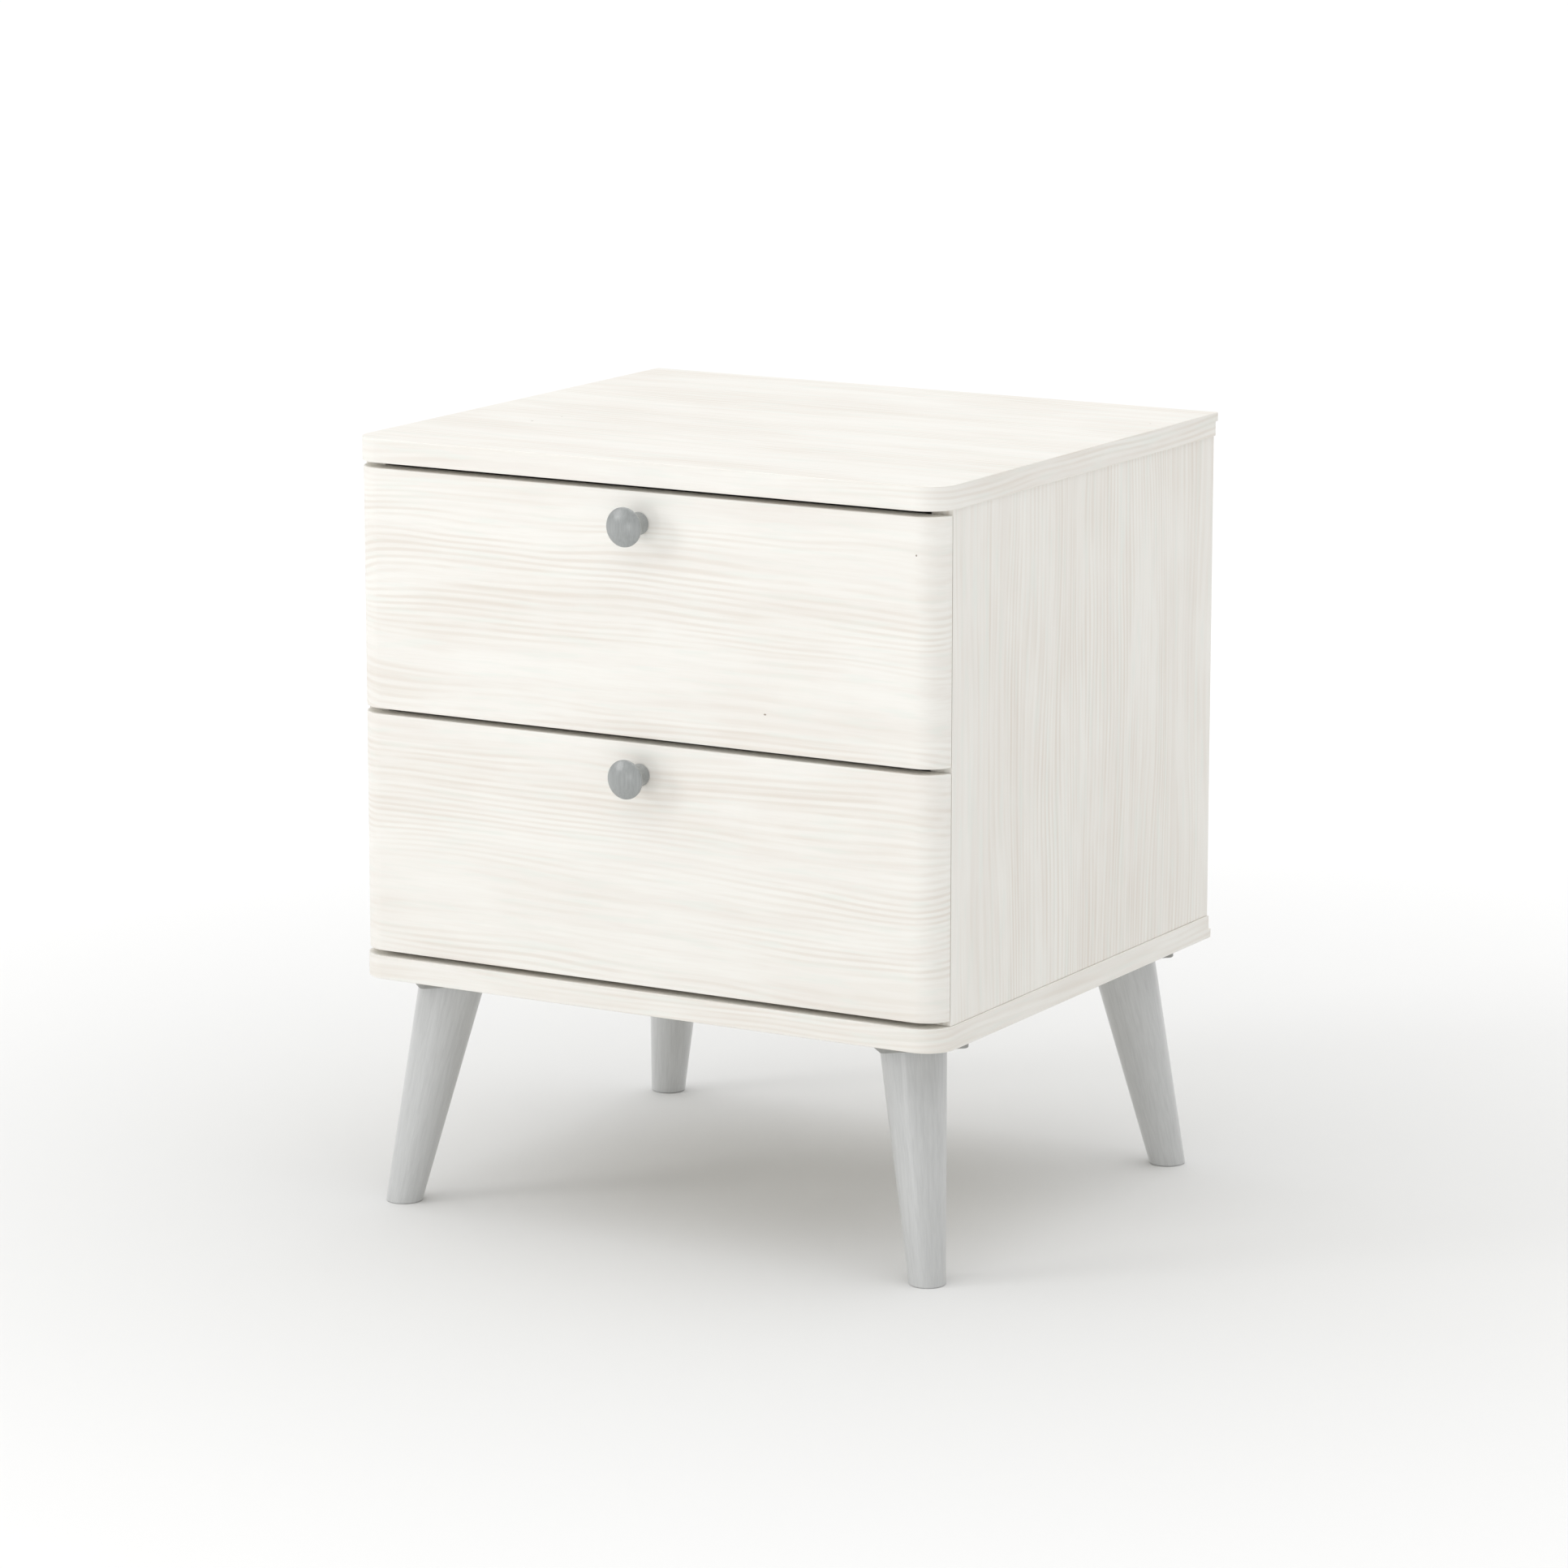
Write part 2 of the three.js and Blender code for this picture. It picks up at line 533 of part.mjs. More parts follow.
// One drawer. Its own origin is level with the front's lower edge.
function drawer(level, z) {
  const group = new THREE.Group();
  group.position.set(0, FRONT_Y, z);
  const boxEndInside = BOX_END - BOX_BOARD;
  group.add(piece(`${level}_drawer_front`, drawerFront(), LAMINATE));
  group.add(piece(`${level}_drawer_back`, drawerBack(), BOX_LAMINATE, [0, boxEndInside, BOX_RAISE]));

  const edge = GROOVE_DEPTH - 0.5;
  const bottomLow = BOX_RAISE + GROOVE_RAISE + JOINT;
  const bottom = block(
    [-BOX_INNER - edge, FRONT_BACK - edge, bottomLow],
    [BOX_INNER + edge, boxEndInside + edge, bottomLow + BACK_BOARD],
  );
  group.add(piece(`${level}_drawer_bottom`, bottom, HARDBOARD));

  const handle = piece(`${level}_knob`, knob(), GREY_PAINT, [0, FRONT_INSET - JOINT, KNOB_Z]);
  handle.rotation.x = Math.PI / 2;
  group.add(handle);
  const screw = piece(`${level}_knob_screw`, knobScrew(), ZINC, [0, FRONT_BACK + JOINT, KNOB_Z]);
  screw.rotation.x = Math.PI / 2;
  group.add(screw);

  const channelZ = BOX_RAISE - CHANNEL_BELOW_BOX;
  for (const [side, sign] of SIDES) {
    const wall = sign * SIDE_INNER;
    const boxSide = piece(`${level}_drawer_side_${side}`, drawerSide(sign), BOX_LAMINATE);
    boxSide.position.set(sign * BOX_OUTER, BOX_START, BOX_RAISE);
    group.add(boxSide);
    const rail = piece(`${level}_drawer_runner_${side}`, drawerRunner(sign), RUNNER_PAINT);
    rail.position.set(wall, BOX_START, channelZ);
    group.add(rail);
    const wheel = piece(`${level}_drawer_roller_${side}`, roller(MOVING_ROLLER), NYLON);
    wheel.position.set(
      wall - sign * (MOVING_ROLLER_S + ROLLER_WIDTH / 2),
      BOX_START + RUNNER_LENGTH - AXLE_SETBACK,
      channelZ + MOVING_AXLE_Z,
    );
    group.add(wheel);
  }
  return group;
}

// The fixed half of one drawer's runners, at the same level as the drawer.
function fixedRunners(level, z) {
  const group = new THREE.Group();
  const start = SIDE_START + 2;
  group.position.set(0, FRONT_Y + start, z + BOX_RAISE - CHANNEL_BELOW_BOX);
  for (const [side, sign] of SIDES) {
    const wall = sign * SIDE_INNER;
    group.add(piece(`${level}_case_runner_${side}`, fixedRunner(sign), RUNNER_PAINT, [wall, 0, 0]));
    const wheel = piece(`${level}_case_roller_${side}`, roller(FIXED_ROLLER), NYLON);
    const across = wall - sign * (FIXED_ROLLER_S + ROLLER_WIDTH / 2);
    wheel.position.set(across, AXLE_SETBACK, FIXED_AXLE_Z);
    group.add(wheel);
  }
  return group;
}

// ---------------------------------------------------------------- assembly

const nightstand = new THREE.Group();
nightstand.add(caseGroup(), legGroup());
const levels = ['lower', 'upper'];
levels.forEach((level, index) => {
  const z = SHELF_TOP + FRONT_GAP + index * (FRONT_HEIGHT + FRONT_GAP);
  nightstand.add(drawer(level, z), fixedRunners(level, z));
});

export default nightstand;
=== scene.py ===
# %% [markdown]
# # A two-drawer nightstand
#
# The real piece is made of laminated particle board: a top and a bottom panel with rounded
# front corners, two upright sides between them, a thin hardboard back, two drawers on
# roller runners, and four splayed wooden legs on steel plates.
#
# The exact sizes and the moving bodies come from a fixed frame of solids. This file gives
# each solid its finished surface: softened edges, wood grain, paint, steel and screws.
# Everything is in metres, with +Z up, and the drawers open towards -Y.

# %% Load the frame
import json
import math

import bmesh
import bpy
import numpy as np
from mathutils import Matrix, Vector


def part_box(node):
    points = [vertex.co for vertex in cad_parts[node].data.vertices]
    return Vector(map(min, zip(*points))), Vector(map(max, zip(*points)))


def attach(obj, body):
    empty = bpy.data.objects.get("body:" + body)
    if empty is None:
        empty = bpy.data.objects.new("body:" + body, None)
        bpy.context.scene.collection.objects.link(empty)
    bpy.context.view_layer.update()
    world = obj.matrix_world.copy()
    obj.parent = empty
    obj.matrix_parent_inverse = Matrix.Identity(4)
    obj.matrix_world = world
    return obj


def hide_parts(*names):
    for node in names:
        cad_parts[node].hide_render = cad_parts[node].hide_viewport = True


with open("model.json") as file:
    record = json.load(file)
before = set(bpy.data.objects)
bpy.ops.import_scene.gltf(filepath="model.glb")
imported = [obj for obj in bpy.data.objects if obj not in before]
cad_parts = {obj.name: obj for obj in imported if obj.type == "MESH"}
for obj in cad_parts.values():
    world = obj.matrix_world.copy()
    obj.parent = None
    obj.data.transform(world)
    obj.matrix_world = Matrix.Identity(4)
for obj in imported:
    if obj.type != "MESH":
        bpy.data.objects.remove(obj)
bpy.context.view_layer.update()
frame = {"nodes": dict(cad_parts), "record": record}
BODIES = frame["record"]["behaviour"]["bodies"]
BODY_OF = {node: body for body, nodes in BODIES.items() for node in nodes}
MM = 0.001
X, Y, Z = range(3)
SIDES = (("left", -1), ("right", 1))
INWARD = {"left": "right", "right": "left"}
ENDS = ("front", "rear")
LEVELS = ("lower", "upper")
CORNERS = [f"{end}_{side}" for end in ENDS for side, _ in SIDES]


def box_of(node):
    """The lowest and the highest corner of a solid, as arrays."""
    low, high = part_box(node)
    return np.array(low), np.array(high)


def middle_of(node):
    """Half the sum of the two corners of a solid."""
    return sum(box_of(node)) / 2


# %% [markdown]
# ## Colours and nodes
#
# A colour is easy to name as a hex value, which is how a screen shows it. Light adds up in
# linear numbers, so one function turns the first into the second. Another small function
# adds a shader node with its settings and its links, which keeps each material short.


# %% Colour and node helpers
def paint(hex_value):
    """Linear colour from sRGB hex: low values are divided by 12.92, the rest raised to 2.4."""
    screen = np.array([int(hex_value[i:i + 2], 16) for i in (0, 2, 4)]) / 255
    linear = np.where(screen <= 0.04045, screen / 12.92, ((screen + 0.055) / 1.055) ** 2.4)
    return (*linear.tolist(), 1.0)


def add(material, kind, inputs=None, **settings):
    """Adds one node. `inputs` gives each socket a value, or the output that is linked to it."""
    tree = material.node_tree
    node = tree.nodes.new("ShaderNode" + kind)
    for name, value in settings.items():
        setattr(node, name, value)
    for socket, value in (inputs or {}).items():
        if isinstance(value, bpy.types.NodeSocket):
            tree.links.new(value, node.inputs[socket])
        else:
            node.inputs[socket].default_value = value
    return node


FINISHES = {}


def new_finish(finish, title):
    """An empty material and its shader node, kept under a short name. Most of those names
    are the record's material slots."""
    material = bpy.data.materials.new(title)
    material.use_nodes = True
    FINISHES[finish] = material
    return material, material.node_tree.nodes["Principled BSDF"]


print("laminate white is", [round(value, 3) for value in paint("f8f6f0")[:3]])

# %% [markdown]
# ## How a pattern finds its place on a board
#
# Wood grain has a direction, and every board is cut from another part of the sheet. A flat
# image would need unwrapping. Here each face corner keeps three numbers instead, in an
# attribute named `grain`: metres along the grain, metres across it, and a number of the
# board's own. A noise that is stretched along the first number looks like wood, so one wood
# pattern is a noise with a length and a width in millimetres.
#
# A finish is then built up as a painter does it: a base colour, and thin tints over it.
# Where a tint lies is the product of a few patterns. Some patterns are also pressed into
# the surface.


# %% Streaks, tints and relief
def streaks(material, place, length, width, detail=2.0, roughness=0.5, low=0.3, high=0.7):
    """Noise whose lumps are `length` by `width` millimetres, spread so low..high becomes 0..1."""
    scale = (1 / (length * MM), 1 / (width * MM), 1 / (width * MM))
    spread = add(material, "Mapping", {"Vector": place, "Scale": scale})
    noise = add(material, "TexNoise", {
        "Vector": spread.outputs[0], "Scale": 1.0, "Detail": detail, "Roughness": roughness})
    ramp = add(material, "MapRange", {
        "Value": noise.outputs[0], "From Min": low, "From Max": high},
        interpolation_type="SMOOTHSTEP")
    return ramp.outputs[0]


# Sockets of a Mix node that mixes colours.
FACTOR, BELOW, ABOVE, MIXED = 0, 6, 7, 2


def tinted(material, base, *tints):
    """A base colour with tints laid over it. Each tint is a colour, its strength, and the
    patterns whose product times the strength says how much of it covers what is below."""
    below = paint(base)
    for colour, factor, *patterns in tints:
        for pattern in patterns:
            factor = add(material, "Math", {0: factor, 1: pattern},
                         operation="MULTIPLY").outputs[0]
        below = add(material, "Mix", {FACTOR: factor, BELOW: below, ABOVE: paint(colour)},
                    data_type="RGBA").outputs[MIXED]
    return below


def dress(material, shader, colour, relief=None, strength=0.0, depth=0.0):
    """Gives the shader its colour and a relief: pattern times `depth` millimetres of height."""
    links = material.node_tree.links
    links.new(colour, shader.inputs["Base Color"])
    if relief is not None:
        raised = add(material, "Bump", {
            "Strength": strength, "Distance": depth * MM, "Height": relief})
        links.new(raised.outputs[0], shader.inputs["Normal"])


def sheen(material, shader, pattern, smooth, rough):
    """Roughness that runs from `smooth` to `rough` as the pattern runs from 0 to 1."""
    spread = add(material, "MapRange", {"Value": pattern, "To Min": smooth, "To Max": rough})
    material.node_tree.links.new(spread.outputs[0], shader.inputs["Roughness"])


def grain_place(material):
    """The board's own coordinates, read from its `grain` attribute."""
    return add(material, "Attribute", attribute_name="grain").outputs["Vector"]


print("patterns are sized in millimetres, and one millimetre is", MM, "m")

# %% [markdown]
# ## Washed pine laminate
#
# The visible boards are covered with a printed paper under a thin resin film. The print is
# almost white and shows washed pine: soft beige bands about 15 mm wide, growth lines 5 mm
# apart that come in groups, arches of wider lines 10 mm apart, faint grey-green patches,
# and a small grey-brown speck here and there. The film is satin, and the pores are pressed
# into it, so the eye sees warm wood with a plastic evenness.
#
# The growth lines wander, so their place across the board is moved by a slow noise first.
# That bent place then feeds every line pattern, and the lines stay parallel as they bend.


# %% Growth lines and specks
LINE_STRETCH = 0.09     # the lines bend 11 times more slowly along the grain than across it
WANDER = 26             # millimetres that a line may wander from one side to the other
SPECK_CELLS = (14.0, 26.0, 26.0)  # specks per metre: one cell is 71 mm long and 38 mm wide
SPECK_SIZE = 0.022      # radius of a speck as a share of its cell


def wandering(material, place):
    """The place moved across the grain by (slow noise - 1/2) times WANDER."""
    slow = streaks(material, place, 300, 80, detail=1.5, low=0.0, high=1.0)
    sideways = add(material, "Math", {0: slow, 1: 0.5}, operation="SUBTRACT")
    shift = add(material, "Math", {0: sideways.outputs[0], 1: WANDER * MM},
                operation="MULTIPLY")
    offset = add(material, "CombineXYZ", {"Y": shift.outputs[0]})
    return add(material, "VectorMath", {0: place, 1: offset.outputs[0]},
               operation="ADD").outputs[0]


def growth_lines(material, place, pitch, distortion):
    """Parallel lines `pitch` millimetres apart. The wave is sin(20 scale y + noise), so the
    scale is 2 pi / (20 pitch)."""
    level = add(material, "Mapping", {"Vector": place, "Scale": (LINE_STRETCH, 1.0, 1.0)})
    wave = add(material, "TexWave", {
        "Vector": level.outputs[0], "Scale": 2 * math.pi / (20 * pitch * MM),
        "Distortion": distortion, "Detail": 1.5, "Detail Scale": 0.6},
        wave_type="BANDS", bands_direction="Y", wave_profile="SIN")
    return add(material, "MapRange", {
        "Value": wave.outputs["Fac"], "From Min": 0.2, "From Max": 1.0},
        interpolation_type="SMOOTHSTEP").outputs[0]


def specks(material, place, share):
    """Two patterns whose product is 1 in a small disc, in about `share` of all cells."""
    spread = add(material, "Mapping", {"Vector": place, "Scale": SPECK_CELLS})
    cells = add(material, "TexVoronoi", {"Vector": spread.outputs[0], "Scale": 1.0})
    near = add(material, "Math", {0: cells.outputs["Distance"], 1: SPECK_SIZE},
               operation="LESS_THAN")
    chance = add(material, "SeparateColor", {"Color": cells.outputs["Color"]})
    chosen = add(material, "Math", {0: chance.outputs[0], 1: 1.0 - share},
                 operation="GREATER_THAN")
    return near.outputs[0], chosen.outputs[0]


print("growth lines wander by", WANDER, "mm")

# %% [markdown]
# ## The laminate's print, and the drawers' foil
#
# The same print covers the drawer boxes as a cheaper foil: fainter, a little greyer and
# without specks. One function makes both.


# %% Laminate and foil
def laminate(finish, title, base, band, growth, patch, strength, speck_share):
    """Printed pine: bands, growth lines and arches laid one over another on the base colour."""
    material, shader = new_finish(finish, title)
    place = grain_place(material)
    bent = wandering(material, place)
    groups = streaks(material, bent, 600, 34, detail=1.0, low=0.32, high=0.62)
    bands = streaks(material, bent, 200, 15, detail=3.5, roughness=0.55, low=0.40, high=0.75)
    breaks = streaks(material, bent, 140, 20, detail=3.0, roughness=0.6, low=0.28, high=0.62)
    patches = streaks(material, place, 55, 7, low=0.5, high=0.74)
    clouds = streaks(material, place, 160, 70, low=0.4, high=0.65)
    fibres = streaks(material, place, 26, 1.1, low=0.4, high=0.75)
    lines = growth_lines(material, bent, 5.2, 1.8)
    arches = growth_lines(material, bent, 9.5, 2.8)
    colour = tinted(
        material, base,
        (band, 0.6 * strength, bands),
        (band, 0.3 * strength, clouds),
        (growth, 0.6 * strength, lines, groups, breaks),
        (growth, 0.35 * strength, arches, clouds, breaks),
        (growth, 0.12 * strength, fibres),
        (patch, 0.45 * strength, patches),
        ("a2968a", 1.0, *specks(material, place, speck_share)))
    # Real pores are 0.1 mm wide. They are drawn 0.5 mm wide, so that they still show.
    pores = streaks(material, place, 9, 0.5)
    dress(material, shader, colour, pores, strength=0.1, depth=0.05)
    sheen(material, shader, bands, 0.5, 0.58)
    shader.inputs["IOR"].default_value = 1.5


laminate("laminate", "Washed pine laminate", base="f8f6f0", band="efeae3", growth="e5ddd2",
         patch="edf0e9", strength=1.0, speck_share=0.3)
laminate("box_laminate", "White pine drawer foil", base="f3f1eb", band="ebe6de",
         growth="e5dfd5", patch="e9eae4", strength=0.6, speck_share=0.0)
print("finishes so far:", sorted(FINISHES))

# %% [markdown]
# ## Grey satin paint on turned beech
#
# The legs and the knobs are turned from beech and sprayed with the same grey satin paint. The
# paint is thin, so the long beech grain shows through as faint lighter and darker streaks. A
# clear topcoat lays a soft bright line along the round. The paint is made in two copies: the
# legs' copy is lighter, a painted highlight, and the knobs' copy darker, painted shade.


# %% Grey satin paint
def satin_paint(finish, title, base, dark, light):
    """Grey paint with long darker streaks and fine lighter ones, both along the grain."""
    material, shader = new_finish(finish, title)
    place = grain_place(material)
    long_streaks = streaks(material, place, 260, 2.4, low=0.35, high=0.7)
    fine_streaks = streaks(material, place, 80, 0.8, detail=1.5, low=0.4, high=0.7)
    colour = tinted(material, base, (dark, 0.5, long_streaks), (light, 0.35, fine_streaks))
    dress(material, shader, colour, fine_streaks, strength=0.12, depth=0.06)
    shader.inputs["Roughness"].default_value = 0.42
    shader.inputs["IOR"].default_value = 1.5
    shader.inputs["Coat Weight"].default_value = 1.0
    shader.inputs["Coat Roughness"].default_value = 0.28
    shader.inputs["Coat IOR"].default_value = 1.5


# One paint in two copies: the legs' is lightened as a painted highlight, and the knobs' darkened
# as painted shade.
satin_paint("grey_paint", "Grey satin paint on beech", "c9cac9", "bcbdbc", "d3d4d3")
satin_paint("knob_paint_painted_shade", "Grey satin paint on beech, darkened as painted shade", "989b9a", "868988", "aaadac")
print("finishes so far:", sorted(FINISHES))

# %% [markdown]
# ## Raw beech
#
# The dowels between the case boards are raw beech: pinkish tan with short darker flecks
# along the grain. They sit in blind holes, and show only when the case is taken apart.

# %% Beech
material, shader = new_finish("beech", "Raw beech")
place = grain_place(material)
flecks = streaks(material, place, 7, 0.6, low=0.5, high=0.7)
dress(material, shader, tinted(material, "dcbf98", ("b98f66", 0.7, flecks)))
shader.inputs["Roughness"].default_value = 0.62
shader.inputs["IOR"].default_value = 1.5
print("made", material.name)

# %% [markdown]
# ## Painted hardboard
#
# The back and the drawer bottoms are 3 mm hardboard with a sprayed off-white face. Pressed
# fibres lie in it in every direction, so its noise is as long as it is wide. The paint is
# matt and a little warmer than the laminate.

# %% Hardboard
material, shader = new_finish("hardboard", "Painted hardboard")
place = grain_place(material)
fibres = streaks(material, place, 1.6, 1.6, detail=3.0, roughness=0.65)
mottle = streaks(material, place, 45, 30)
colour = tinted(material, "ebe8e0", ("dfdbd1", 0.6, mottle), ("f2f0ea", 0.45, fibres))
dress(material, shader, colour, fibres, strength=0.2, depth=0.06)
shader.inputs["Roughness"].default_value = 0.68
shader.inputs["IOR"].default_value = 1.48
print("made", material.name)

# %% [markdown]
# ## Steel, enamel and nylon
#
# The leg plates are pressed steel with a grey powder coat, whose surface is a fine orange
# peel about 1 mm across. The runners have the same kind of coat in white, but smoother.
# The screws are zinc plated: a metal with a faint cloudy mottle. The rollers are moulded
# nylon, milky and softly shiny. All four take the object's own coordinates, because their
# patterns have no direction.


# %% Coated steel, zinc and nylon
def moulded(finish, title, base, cloud, lump, bump, roughness, metallic=0.0, ior=1.5):
    """A base colour with a cloudy second tone, and small lumps of `lump` millimetres."""
    material, shader = new_finish(finish, title)
    place = add(material, "TexCoord").outputs["Object"]
    clouds = streaks(material, place, 14, 14, detail=3.0)
    lumps = streaks(material, place, lump, lump, detail=1.0)
    colour = tinted(material, base, (cloud, 0.6, clouds))
    dress(material, shader, colour, lumps, strength=bump, depth=0.05)
    sheen(material, shader, lumps, roughness - 0.05, roughness + 0.05)
    shader.inputs["Metallic"].default_value = metallic
    shader.inputs["IOR"].default_value = ior


moulded("plate_paint", "Grey powder coated steel", "a2a29f", "989895", 1.0, 0.35, 0.45)
moulded("runner_paint", "White epoxy coated steel", "f0f0ee", "e6e6e3", 1.4, 0.2, 0.36)
moulded("nylon", "Moulded nylon", "f1efe8", "e5e2d9", 2.0, 0.1, 0.42, ior=1.53)
moulded("zinc", "Zinc plated steel", "c3c4c6", "aeafb3", 0.8, 0.15, 0.32, metallic=1.0)
print("finishes:", sorted(FINISHES))

# %% [markdown]
# ## From arrays to a mesh
#
# A surface here is a grid of points: rings, one above another, with the same number of
# points in each. Four neighbours make a face. Where two rings share a point, the doubles
# are merged, so a pole or a step closes by itself, and normals are made to point outwards.


# %% Lofts and clean meshes
DOUBLES = 0.004 * MM    # points nearer than this are one point


def loft(rings):
    """Faces over a stack of rings (levels, columns, 3). Point (i, j) joins (i, j+1),
    (i+1, j+1) and (i+1, j), the last column joins the first, and the end rings are filled."""
    levels, columns = rings.shape[:2]
    index = np.arange(levels * columns).reshape(levels, columns)
    beside = np.roll(index, -1, axis=1)
    walls = np.stack([index[:-1], beside[:-1], beside[1:], index[1:]], axis=-1)
    ends = [index[0, ::-1].tolist(), index[-1].tolist()]
    return rings.reshape(-1, 3), walls.reshape(-1, 4).tolist() + ends


def together(*shells):
    """Several (points, faces) shells as one list of points and one of faces."""
    counts = np.cumsum([0] + [len(points) for points, _ in shells])
    faces = [[corner + int(start) for corner in face]
             for start, (_, shell) in zip(counts, shells) for face in shell]
    return np.concatenate([points for points, _ in shells]), faces


def clean_mesh(name, points, faces, flat_angle=0.0):
    """A closed mesh: doubles merged, normals outwards, and faces in one plane joined if an
    angle is given."""
    mesh = bpy.data.meshes.new(name)
    mesh.from_pydata(np.asarray(points, float).tolist(), [], faces)
    work = bmesh.new()
    work.from_mesh(mesh)
    bmesh.ops.remove_doubles(work, verts=work.verts, dist=DOUBLES)
    if flat_angle:
        bmesh.ops.dissolve_limit(
            work, angle_limit=math.radians(flat_angle), verts=work.verts, edges=work.edges)
    bmesh.ops.recalc_face_normals(work, faces=work.faces)
    work.to_mesh(mesh)
    work.free()
    return mesh


triangle = np.array([[(1, 0, z), (0, 1, z), (-1, 0, z)] for z in (0, 1)], float)
print("a loft of two triangles has", len(loft(triangle)[1]), "faces")

# %% [markdown]
# ## From a mesh to a piece
#
# A piece joins the body of the solid that it stands for, so it moves with it. Raw beech is
# not one of the record's material slots, so the dowels are left without a slot.
#
# Flat faces next to rounded edges shade well only if the big face decides the shared
# normal. The Weighted Normal modifier does that.


# %% Pieces
def settle(piece):
    """Turns the piece's modifiers into its mesh."""
    bpy.context.view_layer.update()
    result = piece.evaluated_get(bpy.context.evaluated_depsgraph_get())
    mesh = bpy.data.meshes.new_from_object(result)
    piece.modifiers.clear()
    piece.data = mesh


def new_piece(name, mesh, slot_name, body, stands_for=()):
    """Puts a mesh in the scene with its finish, on its body, in place of the named solids."""
    piece = bpy.data.objects.new(name, mesh)
    bpy.context.scene.collection.objects.link(piece)
    mesh.materials.clear()
    mesh.materials.append(FINISHES[slot_name])
    if stands_for:
        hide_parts(*stands_for)
    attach(piece, body)
    return piece


def replace(node, shell, slot_name, flat_angle=0.0):
    """A finished piece, from its (points, faces), that stands for one solid."""
    mesh = clean_mesh(node, *shell, flat_angle)
    return new_piece(node + "_finished", mesh, slot_name, BODY_OF[node], (node,))


def shade(piece, sharp=35.0):
    """Smooth shading up to an angle, with the largest faces leading the shared normals."""
    piece.data.polygons.foreach_set("use_smooth", np.ones(len(piece.data.polygons), bool))
    piece.data.set_sharp_from_angle(angle=math.radians(sharp))
    lead = piece.modifiers.new("Weighted Normal", "WEIGHTED_NORMAL")
    lead.keep_sharp = True
    return piece


print("bodies:", ", ".join(sorted(BODIES)))

# %% [markdown]
# ## Laying the grain
#
# For a board, each face looks along one of three directions, and the grain runs along one
# of them. On an end face, which the grain meets square on, an edge strip is glued on, and
# its print runs along the edge. At the rounded front corners the strip follows the curve,
# so there the distance along the outline replaces X.
#
# For a turned piece the three numbers are simply its coordinates along and across the axis.


# %% Grain on boards
BOARD_STEP = np.array([1.31, 0.87, 0.53])   # metres of pattern between two boards


def read_array(items, key, width=1, kind=float):
    """One property of every item, as an array with `width` numbers in a row."""
    values = np.empty(len(items) * width, kind)
    items.foreach_get(key, values)
    return values.reshape(-1, width) if width > 1 else values


def keep_grain(piece, values, domain):
    """Stores three numbers for every face corner or every point."""
    layer = piece.data.attributes.new("grain", "FLOAT_VECTOR", domain)
    layer.data.foreach_set("vector", np.ascontiguousarray(values, np.float32).ravel())


def around_corner(places, arc, stretch):
    """Distance along a rounded outline: X as far as the corner, then `stretch` times the
    radius times the angle, then on along the side."""
    reach, middle, radius = arc
    x, y = places[:, 0], places[:, 1]
    past = np.abs(x) - reach
    angle = np.arctan2(np.maximum(past, 0), np.maximum(middle - y, 1e-9))
    along_side = np.maximum(y - middle, 0)
    return np.sign(x) * (np.minimum(np.abs(x), reach)
                         + stretch * (radius * angle * (past > 0) + along_side))


def lay_grain(piece, along, number, arc=None, stretch=1.0):
    """Metres along the grain, metres across it, and the board's number times BOARD_STEP, at
    every face corner."""
    mesh = piece.data
    places = read_array(mesh.vertices, "co", 3)[read_array(mesh.loops, "vertex_index", 1, int)]
    normals = read_array(mesh.polygons, "normal", 3)
    facing = np.repeat(np.abs(normals).argmax(axis=1),
                       read_array(mesh.polygons, "loop_total", 1, int))
    size = np.ptp(places, axis=0)
    grain = np.zeros_like(places)
    for axis in (X, Y, Z):
        first = along
        if axis == along:
            first = max((a for a in (X, Y, Z) if a != axis), key=lambda a: size[a])
        second = X + Y + Z - axis - first
        here = facing == axis
        grain[here, 0] = places[here, first]
        grain[here, 1] = places[here, second]
    if arc:
        edge = facing != Z
        grain[edge, 0] = around_corner(places[edge], arc, stretch)
        grain[edge, 1] = places[edge, Z]
    keep_grain(piece, grain + BOARD_STEP * number, "CORNER")


print("two boards are", np.linalg.norm(BOARD_STEP).round(2), "m apart in the pattern")

# %% [markdown]
# ## Grain on turned pieces
#
# A leg, a knob or a dowel is one piece of wood, and its end shows the same fibres as its
# side. So its grain numbers are kept for each point: the distance along the axis, and two
# distances square to it.

# %% Grain on turned pieces
UP = np.array([0.0, 0.0, 1.0])
ASKEW = (0.31, 0.95, 0.05)  # a direction that none of the axes runs along
TURNED_STEP = 0.71          # metres of pattern between two turned pieces


def lay_round_grain(piece, start, axis, number):
    """Distances from the start along the axis and along two directions square to it, each
    a dot product."""
    from_start = read_array(piece.data.vertices, "co", 3) - start
    second = np.cross(axis, ASKEW)
    second /= np.linalg.norm(second)
    frame_of_axis = np.stack([axis, second, np.cross(axis, second)], axis=1)
    keep_grain(piece, from_start @ frame_of_axis + TURNED_STEP * number, "POINT")


print("two turned pieces are", TURNED_STEP, "m apart in the pattern")

# %% [markdown]
# ## Top and bottom panels
#
# Both panels have the same outline: round front corners of 24 mm and square rear corners.
# A rebate along the rear edge holds the back panel, and leaves a thin lip. The laminate
# edge is broken by 0.8 mm outside, and by less on the face that meets the sides, where a
# larger round would open a gap.
#
# The panel is a loft of its own outline. Each level pulls the outline in by the edge
# rounding, and stops it at the rebate or at the full depth. Outlines share their points,
# so the step of the rebate closes when the doubles are merged.

